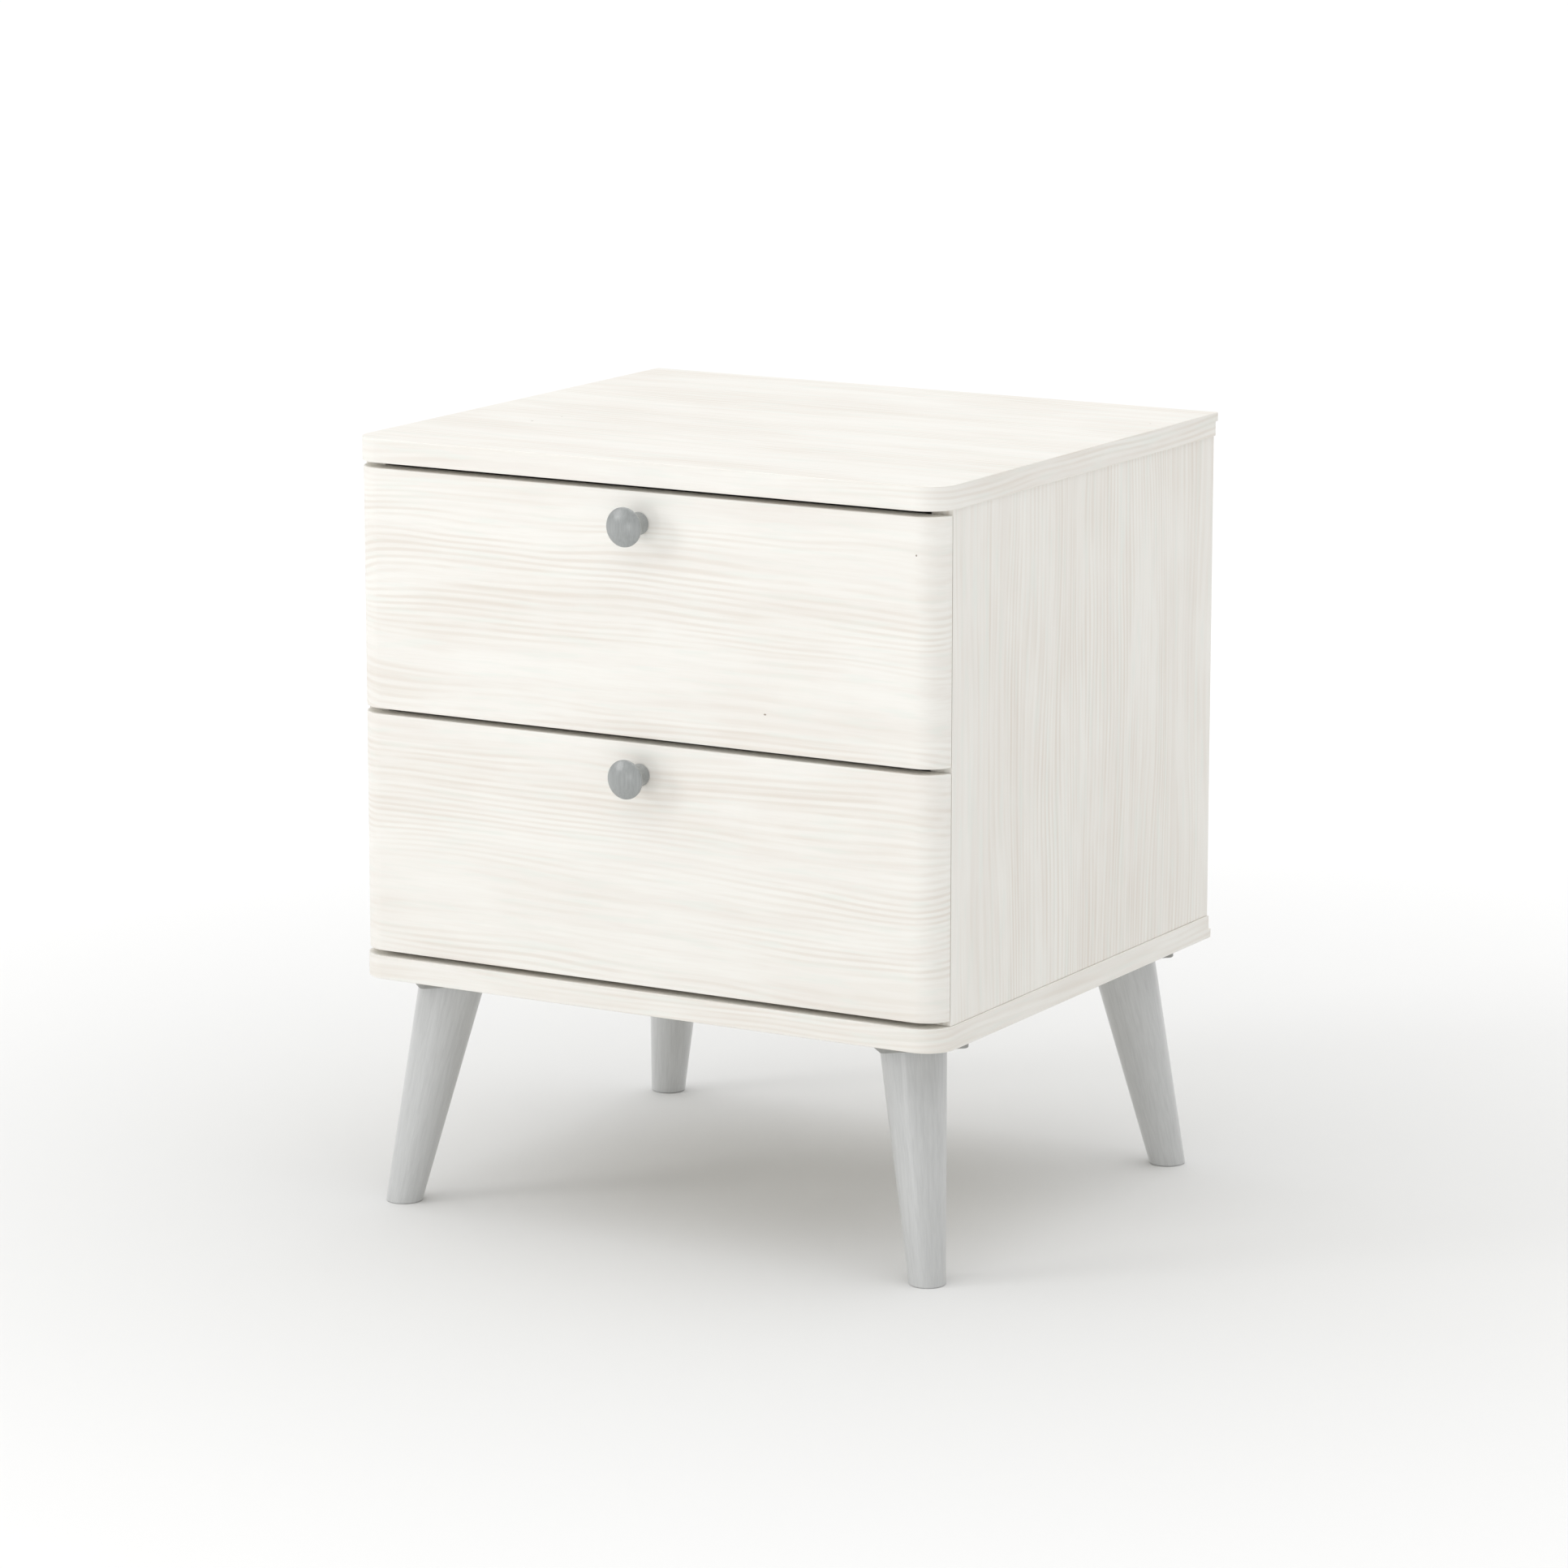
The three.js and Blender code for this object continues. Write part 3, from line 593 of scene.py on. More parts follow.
# %% Panel outline
CORNER_RADIUS = 24 * MM
EDGE_ROUND = 0.8 * MM
JOINT_ROUND = 0.3 * MM      # where a board meets another
REAR_ROUND = 1.5 * MM
REBATE_DEPTH = 5 * MM
LIP = 7 * MM
TOP_LOW, TOP_HIGH = box_of("top_panel")
SHELF_LOW, SHELF_HIGH = box_of("bottom_panel")
CORNER_X = TOP_HIGH[X] - CORNER_RADIUS
CORNER_Y = TOP_LOW[Y] + CORNER_RADIUS


def arc_points(x, y, radius, start, end, count):
    """Arcs x + radius cos(angle), y + radius sin(angle), one for every radius given."""
    angle = np.radians(np.linspace(start, end, count))
    return np.stack([x + radius[:, None] * np.cos(angle), y + radius[:, None] * np.sin(angle)], -1)


def at_heights(outlines, heights):
    """Flat outlines (levels, points, 2), each lifted to its height."""
    height = np.broadcast_to(np.asarray(heights)[:, None, None], outlines.shape[:2] + (1,))
    return np.concatenate([outlines, height], axis=-1)


def rounded_levels(low, high, steps, lower, upper):
    """Heights and insets of two edge roundings: height = r (1 - cos t), inset = r (1 - sin t)."""
    turn = np.linspace(0, np.pi / 2, steps)
    rise, inset = 1 - np.cos(turn), 1 - np.sin(turn)
    return (np.concatenate([low + lower * rise, (high - upper * rise)[::-1]]),
            np.concatenate([lower * inset, (upper * inset)[::-1]]))


def panel_rings(heights, insets, rear):
    """The panel outline at each height: four arcs pulled in by each inset, with a point at
    the rebate on both sides, stopped at each rear limit."""
    half, back = TOP_HIGH[X], TOP_HIGH[Y]
    front_radius, rear_radius = CORNER_RADIUS - insets, REAR_ROUND - insets
    rear_x, rear_y = half - REAR_ROUND, back - REAR_ROUND
    right_step = np.stack([half - insets, np.full(len(insets), back - REBATE_DEPTH)], -1)[:, None]
    left_step = right_step * (-1, 1)
    outline = np.concatenate([
        arc_points(CORNER_X, CORNER_Y, front_radius, -90, 0, 25), right_step,
        arc_points(rear_x, rear_y, rear_radius, 0, 90, 5),
        arc_points(-rear_x, rear_y, rear_radius, 90, 180, 5), left_step,
        arc_points(-CORNER_X, CORNER_Y, front_radius, 180, 270, 25)], axis=1)
    outline[..., Y] = np.minimum(outline[..., Y], (rear - insets)[:, None])
    return at_heights(outline, heights)


def panel_shell(low, high, lip_below):
    """Two roundings with the step of the rebate between them, above or below the lip."""
    rounds = (EDGE_ROUND, JOINT_ROUND) if lip_below else (JOINT_ROUND, EDGE_ROUND)
    heights, insets = rounded_levels(low[Z], high[Z], 4, *rounds)
    step_height = low[Z] + LIP if lip_below else high[Z] - LIP
    limits = [high[Y], high[Y] - REBATE_DEPTH]
    below, above = limits if lip_below else limits[::-1]
    heights = np.concatenate([heights[:4], [step_height] * 2, heights[4:]])
    insets = np.concatenate([insets[:4], [0, 0], insets[4:]])
    return loft(panel_rings(heights, insets, np.repeat([below, above], 5)))


print("panels are", np.round((TOP_HIGH - TOP_LOW) / MM, 1), "mm")

# %% [markdown]
# ## Holes
#
# Screws pass through the bottom panel, and cams sit in the sides. A hole is a Boolean
# difference. All the drills for one board are one mesh of separate round shells, so the
# board is cut once.


# %% Drills and cuts
def turned_rings(profile, segments):
    """Rings about +Z for a profile of (radius, height): x = r cos a, y = r sin a, z = height."""
    angle = np.linspace(0, 2 * np.pi, segments, endpoint=False)
    radius, height = np.asarray(profile, float).T
    outlines = np.stack([radius[:, None] * np.cos(angle), radius[:, None] * np.sin(angle)], -1)
    return at_heights(outlines, height)


# Each matrix is a turn that sends +Z to the named direction.
TURN = {
    "up": np.eye(3),
    "down": np.diag([1.0, -1.0, -1.0]),
    "front": np.array([[1.0, 0, 0], [0, 0, -1], [0, 1, 0]]),
    "back": np.array([[1.0, 0, 0], [0, 0, 1], [0, -1, 0]]),
    "right": np.array([[0.0, 0, 1], [0, 1, 0], [-1, 0, 0]]),
    "left": np.array([[0.0, 0, -1], [0, 1, 0], [1, 0, 0]]),
}
THROUGH = 25 * MM       # longer than any board is thick
HOLE_SPARE = 0.5 * MM   # a blind hole is deeper than what it takes
DRILL_START = 1 * MM    # a drill starts above the face


def set_at(shell, direction, place):
    """A shell built about +Z, turned to a direction and moved to its place."""
    points, faces = shell
    return points @ TURN[direction].T + np.asarray(place), faces


def drill(radius, length, direction, place, sink_radius=0.0, sink=0.0):
    """A round drill from a place along a direction, with a countersink at its start."""
    mouth = max(radius, sink_radius)
    profile = [(mouth, -DRILL_START), (mouth, 0), (radius, sink), (radius, length)]
    return set_at(loft(turned_rings(profile, 32)), direction, place)


def cut_away(piece, *drills):
    """Takes the drills' space out of a piece."""
    tool = bpy.data.objects.new("drills", clean_mesh("drills", *together(*drills)))
    bpy.context.scene.collection.objects.link(tool)
    step = piece.modifiers.new("Boolean", "BOOLEAN")
    step.operation, step.solver, step.object = "DIFFERENCE", "EXACT", tool
    settle(piece)
    bpy.data.objects.remove(tool)
    return piece


print("a drill has", len(drill(MM, THROUGH, "up", (0, 0, 0))[1]), "faces")

# %% [markdown]
# ## Cutting the two panels
#
# The cam bolts go up into the top panel, and long screws come up through the bottom panel.
# A blind dowel hole lies 32 mm inwards of each, which is the step of the usual multiple
# drill. The bottom panel also gets four wide reliefs over the ends of the leg bolts.

# %% Top and bottom panels
CAM_BOLT_HOLE = 2.9 * MM
CASE_SCREW_HOLE = 3.7 * MM
CASE_SCREW_SINK = (5.3 * MM, 4 * MM)
LEG_BOLT_RELIEF = (9 * MM, 10 * MM)
DOWEL_RADIUS = 4 * MM
DOWEL_HOLE = DOWEL_RADIUS + 0.05 * MM
DOWEL_IN_PANEL = 10 * MM
DOWEL_IN_SIDE = 20 * MM
DOWEL_STEP = 32 * MM
dowel_places = {}


def dowel_hole(corner, direction, height, depth):
    """A blind hole for the dowel near a corner of the case."""
    place = (*dowel_places[corner], height)
    return drill(DOWEL_HOLE, depth + HOLE_SPARE, direction, place)


top = replace("top_panel", panel_shell(TOP_LOW, TOP_HIGH, False), "laminate")
bottom = replace("bottom_panel", panel_shell(SHELF_LOW, SHELF_HIGH, True), "laminate")
top_drills, bottom_drills = [], []
for corner in CORNERS:
    x, y, _ = middle_of(f"cam_bolt_{corner}")
    depth = box_of(f"cam_bolt_{corner}")[1][Z] - TOP_LOW[Z] + HOLE_SPARE
    top_drills.append(drill(CAM_BOLT_HOLE, depth, "up", (x, y, TOP_LOW[Z])))
    x, y, _ = middle_of(f"case_screw_{corner}")
    bottom_drills.append(
        drill(CASE_SCREW_HOLE, THROUGH, "up", (x, y, SHELF_LOW[Z]), *CASE_SCREW_SINK))
    dowel_places[corner] = x, y - math.copysign(DOWEL_STEP, y)
    top_drills.append(dowel_hole(corner, "up", TOP_LOW[Z], DOWEL_IN_PANEL))
    bottom_drills.append(dowel_hole(corner, "down", SHELF_HIGH[Z], DOWEL_IN_PANEL))
for corner in CORNERS:
    x, y, _ = middle_of(f"leg_plate_{corner}")
    bottom_drills.append(drill(*LEG_BOLT_RELIEF, "up", (x, y, SHELF_LOW[Z])))
cut_away(top, *top_drills)
cut_away(bottom, *bottom_drills)

for number, panel in enumerate((top, bottom), 1):
    lay_grain(shade(panel), X, number, (CORNER_X, CORNER_Y, CORNER_RADIUS))
    print(panel.name, len(panel.data.polygons), "faces")

# %% [markdown]
# ## Drawer fronts
#
# A front is an 18 mm board whose two ends are rounded to run parallel with the panels'
# corners, so the outline of the whole front stays one smooth curve. Its edges are broken
# by 1 mm. A groove in its back takes the drawer bottom, and the knob screw goes through it.

# %% Drawer fronts
FRONT_ROUND = 1.0 * MM
FRONT_INSET = 1.0 * MM
FRONT_RADIUS = TOP_HIGH[X] - FRONT_INSET - CORNER_X
GROOVE_DEPTH = 6 * MM
GROOVE_ROOM = np.array([0.5, 0.0, 0.3]) * MM    # around the drawer bottom
KNOB_SCREW_HOLE = 2.3 * MM
END_STRETCH = 2.2   # towards the rounded ends the print is squeezed to short patches


def front_rings(heights, insets, back):
    """The plan of a drawer front at each height: two arcs cut off by a straight back."""
    sweep = np.degrees(np.arcsin((back - CORNER_Y) / FRONT_RADIUS))
    radius = FRONT_RADIUS - insets
    outline = np.concatenate([
        arc_points(CORNER_X, CORNER_Y, radius, -90, sweep, 22),
        arc_points(-CORNER_X, CORNER_Y, radius, 180 - sweep, 270, 22)], axis=1)
    outline[..., Y] = np.minimum(outline[..., Y], (back - insets)[:, None])
    return at_heights(outline, heights)


def box_shell(low, high):
    """A plain box from corner to corner, as a loft of two square rings. It is only a cutter."""
    (x0, y0, z0), (x1, y1, z1) = low, high
    ring = np.array([[(x1, y0), (x1, y1), (x0, y1), (x0, y0)]] * 2)
    return loft(at_heights(ring, (z0, z1)))


for number, level in enumerate(LEVELS, 3):
    node = f"{level}_drawer_front"
    low, high = box_of(node)
    heights, insets = rounded_levels(low[Z], high[Z], 4, FRONT_ROUND, FRONT_ROUND)
    front = replace(node, loft(front_rings(heights, insets, high[Y])), "laminate")
    groove_low, groove_high = box_of(f"{level}_drawer_bottom")
    groove_low[Y], groove_high[Y] = high[Y] - GROOVE_DEPTH, high[Y] + DRILL_START
    groove = box_shell(groove_low - GROOVE_ROOM, groove_high + GROOVE_ROOM)
    knob_height = middle_of(f"{level}_knob")[Z]
    cut_away(front, groove, drill(KNOB_SCREW_HOLE, THROUGH, "front", (0, high[Y], knob_height)))
    lay_grain(shade(front), X, number, (CORNER_X, CORNER_Y, FRONT_RADIUS), END_STRETCH)
    print(front.name, len(front.data.polygons), "faces")

# %% [markdown]
# ## Case boards
#
# The sides, the drawer boxes, the back and the runners have the right shape already, with
# their bores and grooves. A copy of each is merged, its flat faces are joined, and a Bevel
# breaks its edges: 0.3 to 0.5 mm on a board, and 0.25 mm on rolled steel. The grain of the
# sides and of the back stands upright.


# %% Sides and back
def softened(node, slot_name, radius, drills=()):
    """A merged copy of a solid with its sharp edges bevelled, and then drilled."""
    source = frame["nodes"][node].data
    triangles = read_array(source.loops, "vertex_index", 1, int).reshape(-1, 3).tolist()
    shell = read_array(source.vertices, "co", 3), triangles
    piece = replace(node, shell, slot_name, flat_angle=0.5)
    bevel = piece.modifiers.new("Bevel", "BEVEL")
    bevel.width = radius
    bevel.segments = 2
    bevel.limit_method = "ANGLE"
    bevel.angle_limit = math.radians(40)
    settle(piece)
    if drills:
        cut_away(piece, *drills)
    return shade(piece)


for number, (side, _) in enumerate(SIDES, 5):
    holes = [dowel_hole(f"{end}_{side}", way, height, DOWEL_IN_SIDE)
             for end in ENDS
             for way, height in (("down", TOP_LOW[Z]), ("up", SHELF_HIGH[Z]))]
    lay_grain(softened(f"side_panel_{side}", "laminate", JOINT_ROUND, holes), Z, number)
lay_grain(softened("back_panel", "hardboard", JOINT_ROUND), Z, 7)
print("case boards done, with", len(dowel_places), "dowel places")

# %% [markdown]
# ## Drawer boxes and runners
#
# Each drawer side is drilled twice for cams near its front end and twice for screws near
# its rear end, and the screws' holes go on into the drawer's back. The places are kept, so
# that the cams and screws can be set into them later. The runners are rolled steel, and
# their bends are already in the solids.

# %% Drawer boxes and runners
BOX_ROUND = 0.5 * MM
STEEL_ROUND = 0.25 * MM
CAM_RADIUS = 6 * MM
CAM_DEPTH = 7 * MM
CAM_SETBACK = 24 * MM           # from the front end of a drawer side
BOX_SCREW = 2.1 * MM
BOX_SCREW_SINK = (4.3 * MM, 2.4 * MM)
BOX_SCREW_SETBACK = 6 * MM      # from its rear end, half of the back's thickness
BOX_SCREW_REACH = 31 * MM       # hole through the side and into the back
ROWS = (46 * MM, 104 * MM)      # heights above the side's lower edge
HOLE_ROOM = 0.1 * MM
drawer_cams, box_screws = [], []
number = 7      # the last board so far is the back panel
for level in LEVELS:
    back_holes = []
    for side, sign in SIDES:
        node = f"{level}_drawer_side_{side}"
        low, high = box_of(node)
        inner, outer = (low[X], high[X]) if sign > 0 else (high[X], low[X])
        way = INWARD[side]
        holes = []
        for row, height in enumerate(ROWS, 1):
            cam = (inner, low[Y] + CAM_SETBACK, low[Z] + height)
            screw = (outer, high[Y] - BOX_SCREW_SETBACK, low[Z] + height)
            hole = BOX_SCREW + HOLE_ROOM
            holes.append(drill(CAM_RADIUS + HOLE_ROOM, CAM_DEPTH, side, cam))
            holes.append(drill(hole, THROUGH, way, screw, *BOX_SCREW_SINK))
            back_holes.append(drill(hole, BOX_SCREW_REACH, way, screw))
            drawer_cams.append((f"{level}_drawer_cam_{side}_{row}", level, way, cam))
            box_screws.append((f"{level}_drawer_box_screw_{side}_{row}", level, side, screw))
        number += 1
        lay_grain(softened(node, "box_laminate", BOX_ROUND, holes), Y, number)
    back = softened(f"{level}_drawer_back", "box_laminate", BOX_ROUND, back_holes)
    lay_grain(back, X, number + 10)
    lay_grain(softened(f"{level}_drawer_bottom", "hardboard", JOINT_ROUND), X, number + 20)
    for side, _ in SIDES:
        softened(f"{level}_case_runner_{side}", "runner_paint", STEEL_ROUND)
        softened(f"{level}_drawer_runner_{side}", "runner_paint", STEEL_ROUND)
print(len(drawer_cams), "cams and", len(box_screws), "screws to place in the drawer boxes")

# %% [markdown]
# ## Legs
#
# A leg is a straight turned taper on a slanted axis. It is sawn level at the floor and
# under its plate, so its ends are ellipses. To get level rings, each line of the cone is
# followed down to the wanted height. A line starts at the upper ring and runs along the
# axis while the radius shrinks, so its height is linear in the distance, which gives the
# distance directly.

# %% Legs
LEG_TOP_RADIUS = 26.2 * MM
LEG_FOOT_RADIUS = 14.1 * MM
LEG_SPLAY = 30.3 * MM       # the foot moves out by this along X and along Y
FOOT_ROUND = 1.2 * MM
LEG_BORE = 4.2 * MM
BORE_DEPTH = 52 * MM
BORE_START = 18 * MM         # the drill starts this far above the bottom panel's underside
UNDERSIDE = SHELF_LOW[Z]
leg_axes = {}


def leg_rings(start, axis, heights, insets, segments=72):
    """Level rings of a slanted cone: for each angle a, with e the height of the ring's steep
    side and k the taper, distance = (height - start - r0 e sin(a)) / (axis + k e sin(a))."""
    taper = (LEG_FOOT_RADIUS - LEG_TOP_RADIUS) / (UNDERSIDE / -axis[Z])
    level = np.cross(UP, axis)
    level /= np.linalg.norm(level)
    steep = np.cross(axis, level)
    angle = np.linspace(0, 2 * np.pi, segments, endpoint=False)
    tilt = np.sin(angle) * steep[Z]
    drop = np.asarray(heights)[:, None] - start[Z]
    distance = (drop - LEG_TOP_RADIUS * tilt) / (axis[Z] + taper * tilt)
    radius = LEG_TOP_RADIUS + taper * distance
    ring = np.cos(angle)[:, None] * level + np.sin(angle)[:, None] * steep
    points = start + distance[..., None] * axis + radius[..., None] * ring
    centre = points.mean(axis=1, keepdims=True)
    width = np.linalg.norm(points - centre, axis=2, keepdims=True)
    points = centre + (points - centre) * (1 - np.asarray(insets)[:, None, None] / width)
    points[..., Z] = np.asarray(heights)[:, None]
    return points


def leg_bore(start, axis):
    """A straight bore along the leg's axis, open at the top, for the hanger bolt."""
    points, faces = loft(turned_rings([(LEG_BORE, 0), (LEG_BORE, BORE_DEPTH + BORE_START)], 24))
    level = np.cross(UP, -axis)
    level /= np.linalg.norm(level)
    turn = np.stack([level, np.cross(-axis, level), -axis], axis=1)
    return points @ turn.T + start + axis * BORE_DEPTH, faces


for number, corner in enumerate(CORNERS):
    node = f"leg_{corner}"
    x, y, _ = middle_of(f"leg_plate_{corner}")
    low, high = box_of(node)
    start = np.array([x, y, UNDERSIDE])
    axis = np.array([np.sign(x) * LEG_SPLAY, np.sign(y) * LEG_SPLAY, -UNDERSIDE])
    axis /= np.linalg.norm(axis)
    leg_axes[corner] = start, axis
    heights, insets = rounded_levels(low[Z], high[Z], 5, FOOT_ROUND, FOOT_ROUND)
    steps = np.linspace(FOOT_ROUND, high[Z] - FOOT_ROUND, 9)[1:-1]
    heights = np.concatenate([heights[:5], steps, heights[5:]])
    insets = np.concatenate([insets[:5], 0 * steps, insets[5:]])
    leg = replace(node, loft(leg_rings(start, axis, heights, insets)), "grey_paint")
    cut_away(leg, leg_bore(start, axis))
    lay_round_grain(shade(leg, sharp=40), start, axis, number)
    print(leg.name, "foot centre", np.round((low + high)[:2] / 2 / MM, 1))

# %% [markdown]
# ## Screw heads
#
# A screw head is a low dome with a cross recess. In polar form the outline of a cross has
# one radius for each angle, so the recess is one more ring of the same loft. The same shape
# serves for every screw and for the small cams, each with its own radius and length.

# %% Screws
# Head radius, head height, shank radius and shank length.
PLATE_SCREW = np.array([4.1, 0.9, 2.1, 4.6]) * MM
CASE_RUNNER_SCREW = np.array([3.4, 1.3, 1.6, 1.1]) * MM
DRAWER_RUNNER_SCREW = np.array([3.2, 1.0, 1.6, 1.0]) * MM
CROWN = 1.16    # height of the middle of a head, over the height of its edge


def cross_head(radius, height, shank, length, segments=32):
    """A screw about +Z: shank below z = 0, a head that rises as 0.35 + 0.65 sin(t) of its
    height above, and a cross cut into it whose radius is the nearer edge of two bars."""
    turn = np.linspace(0, np.pi / 2, 5)
    edge = np.stack([radius - 0.35 * height * (1 - np.cos(turn)),
                     height * (0.35 + 0.65 * np.sin(turn))], axis=1)
    crown = [(0.62 * radius, height * 1.12), (0.5 * radius, height * 1.15)]
    rings = turned_rings([(shank, -length), (shank, 0), (radius, 0), *edge, *crown], segments)
    angle = np.linspace(0, 2 * np.pi, segments, endpoint=False)
    cosine, sine = np.abs(np.cos(angle)) + 1e-9, np.abs(np.sin(angle)) + 1e-9
    arm, blade = 0.42 * radius, 0.11 * radius
    reach = np.maximum(np.minimum(arm / cosine, blade / sine),
                       np.minimum(arm / sine, blade / cosine))
    cross = np.stack([reach * np.cos(angle), reach * np.sin(angle)], axis=-1)
    recess = at_heights(np.stack([cross, 0.8 * cross]), (height * CROWN, height * 0.26))
    return loft(np.concatenate([rings, recess]))


def add_screw(name, body, direction, place, size, stands_for=()):
    """One screw as its own piece, its head outwards along the direction."""
    shell = set_at(cross_head(*size), direction, place)
    return shade(new_piece(name, clean_mesh(name, *shell), "zinc", body, stands_for), sharp=30)


print("a plate screw has", len(cross_head(*PLATE_SCREW)[1]), "faces")

# %% [markdown]
# ## Leg plates
#
# Each leg hangs from a 6 mm steel plate, 70 mm square and turned by 45 degrees, held by a
# countersunk screw in each corner. The plate is a loft of a rounded square whose edges are
# drawn in.

# %% Leg plates
PLATE_SIDE = 70 * MM
PLATE_CORNER = 5 * MM
PLATE_ROUND = 1.2 * MM
PLATE_BOLT_HOLE = 7 * MM
PLATE_SCREW_HOLE = 2.6 * MM
PLATE_SCREW_SINK = (4.6 * MM, 2.2 * MM)
SCREW_SUNK = 1.2 * MM
SCREW_SPREAD = 27 * MM
EIGHTH = math.sqrt(0.5)
EIGHTH_TURN = np.array([[EIGHTH, -EIGHTH, 0], [EIGHTH, EIGHTH, 0], [0, 0, 1]])


def rounded_square(side, radius, insets, heights):
    """A square with four quarter arcs at each height, pulled in by each inset."""
    middle = side / 2 - radius
    quarters = ((1, 1, 0), (-1, 1, 90), (-1, -1, 180), (1, -1, 270))
    outline = np.concatenate([
        arc_points(x * middle, y * middle, radius - insets, start, start + 90, 9)
        for x, y, start in quarters], axis=1)
    return at_heights(outline, heights)


for corner in CORNERS:
    node = f"leg_plate_{corner}"
    low, high = box_of(node)
    x, y, _ = middle_of(node)
    heights, insets = rounded_levels(low[Z], high[Z], 4, PLATE_ROUND, PLATE_ROUND)
    rings = rounded_square(PLATE_SIDE, PLATE_CORNER, insets, heights)
    plate = replace(node, loft(rings @ EIGHTH_TURN.T + (x, y, 0)), "plate_paint")
    spread = np.array([(1, 1, 0), (-1, 1, 0), (-1, -1, 0), (1, -1, 0)]) * SCREW_SPREAD
    places = spread @ EIGHTH_TURN.T + (x, y, low[Z])
    sinks = [drill(PLATE_SCREW_HOLE, THROUGH, "up", place, *PLATE_SCREW_SINK)
             for place in places]
    cut_away(plate, drill(PLATE_BOLT_HOLE, THROUGH, "up", (x, y, low[Z])), *sinks)
    shade(plate)
    for number, place in enumerate(places, 1):
        add_screw(f"plate_screw_{corner}_{number}", "case", "down",
                  place + SCREW_SUNK * UP, PLATE_SCREW)
    print(plate.name, len(plate.data.polygons), "faces")

# %% [markdown]
# ## Knobs
#
# The knob is turned wood: a waist that swells to a flat mushroom head. Few points describe
# the profile, and a Catmull-Rom curve passes through all of them. Each stretch of that
# curve is a cubic whose slope at a point is half the step between its two neighbours.
#
# The knobs keep the slot of the legs' grey paint, because they are the same kind of paint.
# Only their material is swapped for a darker copy of it, which paints in the shade on the knobs.


# %% Knobs
def smooth_line(points, per_span=6):
    """A Catmull-Rom curve through the points, worked out for every span at once."""
    points = np.asarray(points, float)
    first, last = 2 * points[:1] - points[1:2], 2 * points[-1:] - points[-2:-1]
    padded = np.concatenate([first, points, last])
    t = np.linspace(0, 1, per_span, endpoint=False)[None, :, None]
    before, here, there, after = (p[:, None] for p in (
        padded[:-3], padded[1:-2], padded[2:-1], padded[3:]))
    curve = 0.5 * (2 * here + (there - before) * t
                   + (2 * before - 5 * here + 4 * there - after) * t ** 2
                   + (3 * here - before - 3 * there + after) * t ** 3)
    return np.concatenate([curve.reshape(-1, points.shape[1]), points[-1:]])


KNOB_BORE = (2.2 * MM, 12 * MM)
KNOB_PROFILE = np.array([
    (8.3, 0.0), (8.7, 0.5), (7.7, 3.2), (6.9, 8.0), (7.3, 12.5), (9.4, 16.0), (12.3, 18.5),
    (14.6, 20.2), (15.25, 21.3), (14.9, 22.2), (13.2, 23.1), (8.6, 24.8), (4.0, 25.7),
    (0.0, 25.98)]) * MM
profile = np.concatenate([[(0.0, 0.0)], smooth_line(KNOB_PROFILE)])
for number, level in enumerate(LEVELS, 7):
    node = f"{level}_knob"
    place = middle_of(node)
    place[Y] = box_of(node)[1][Y]
    knob = replace(node, set_at(loft(turned_rings(profile, 96)), "front", place), "grey_paint")
    # The darker copy is painted shade on the knobs.
    knob.material_slots[0].material = FINISHES["knob_paint_painted_shade"]
    cut_away(knob, drill(*KNOB_BORE, "front", place))
    lay_round_grain(shade(knob, sharp=40), place, UP, number)
    print(knob.name, len(knob.data.polygons), "faces")

# %% [markdown]
# ## Rollers
#
# Each runner carries one nylon roller: a tyre with rounded rims, a recessed web and a hub
# that turns on the steel axle. It is one profile turned about X.

# %% Rollers
ROLLER_BORE = 2.9 * MM
HUB = 5 * MM
TYRE = 2.6 * MM         # thickness of the tyre
RIM_ROUND = 0.8 * MM
DISH = 0.9 * MM         # depth of the recessed web
DISH_SLOPE = 0.4 * MM
BORE_EDGE = 0.3 * MM


def roller_profile(radius, width):
    """(radius, height) points of a roller, from the bore round the tyre and back."""
    half = width / 2
    tyre, web = radius - TYRE, half - DISH
    turn = np.linspace(0, np.pi / 2, 5)
    rim = np.stack([radius - RIM_ROUND + RIM_ROUND * np.cos(turn),
                    half - RIM_ROUND + RIM_ROUND * np.sin(turn)], axis=1)
    inward = np.array([
        (tyre, half), (tyre - DISH_SLOPE, web), (HUB + DISH_SLOPE, web), (HUB, half),
        (ROLLER_BORE + BORE_EDGE, half), (ROLLER_BORE, half - BORE_EDGE)])
    return np.concatenate([inward[::-1] * (1, -1), rim[::-1] * (1, -1), rim, inward])


def ring_shell(rings):
    """Faces over rings that close on themselves both ways, like a tyre."""
    index = np.arange(rings.shape[0] * rings.shape[1]).reshape(rings.shape[:2])
    beside, above = np.roll(index, -1, axis=1), np.roll(index, -1, axis=0)
    faces = np.stack([index, beside, np.roll(above, -1, axis=1), above], axis=-1)
    return rings.reshape(-1, 3), faces.reshape(-1, 4).tolist()


rollers = [f"{level}_{kind}_roller_{side}"
           for level in LEVELS for kind in ("case", "drawer") for side, _ in SIDES]
for node in rollers:
    low, high = box_of(node)
    rings = turned_rings(roller_profile((high[Z] - low[Z]) / 2, high[X] - low[X]), 64)
    shade(replace(node, set_at(ring_shell(rings), "right", middle_of(node)), "nylon"))
print(len(rollers), "rollers")

# %% [markdown]
# ## Screws and cams in the case and the drawers
#
# Every runner is held by three pan head screws: the fixed ones go sideways into the case,
# and the drawer's go up into its sides. The knob screw shows its head inside the drawer,
# and four long screws join the bottom panel to the sides. The sides hang on the top panel
# by cams, whose solids are only softened.

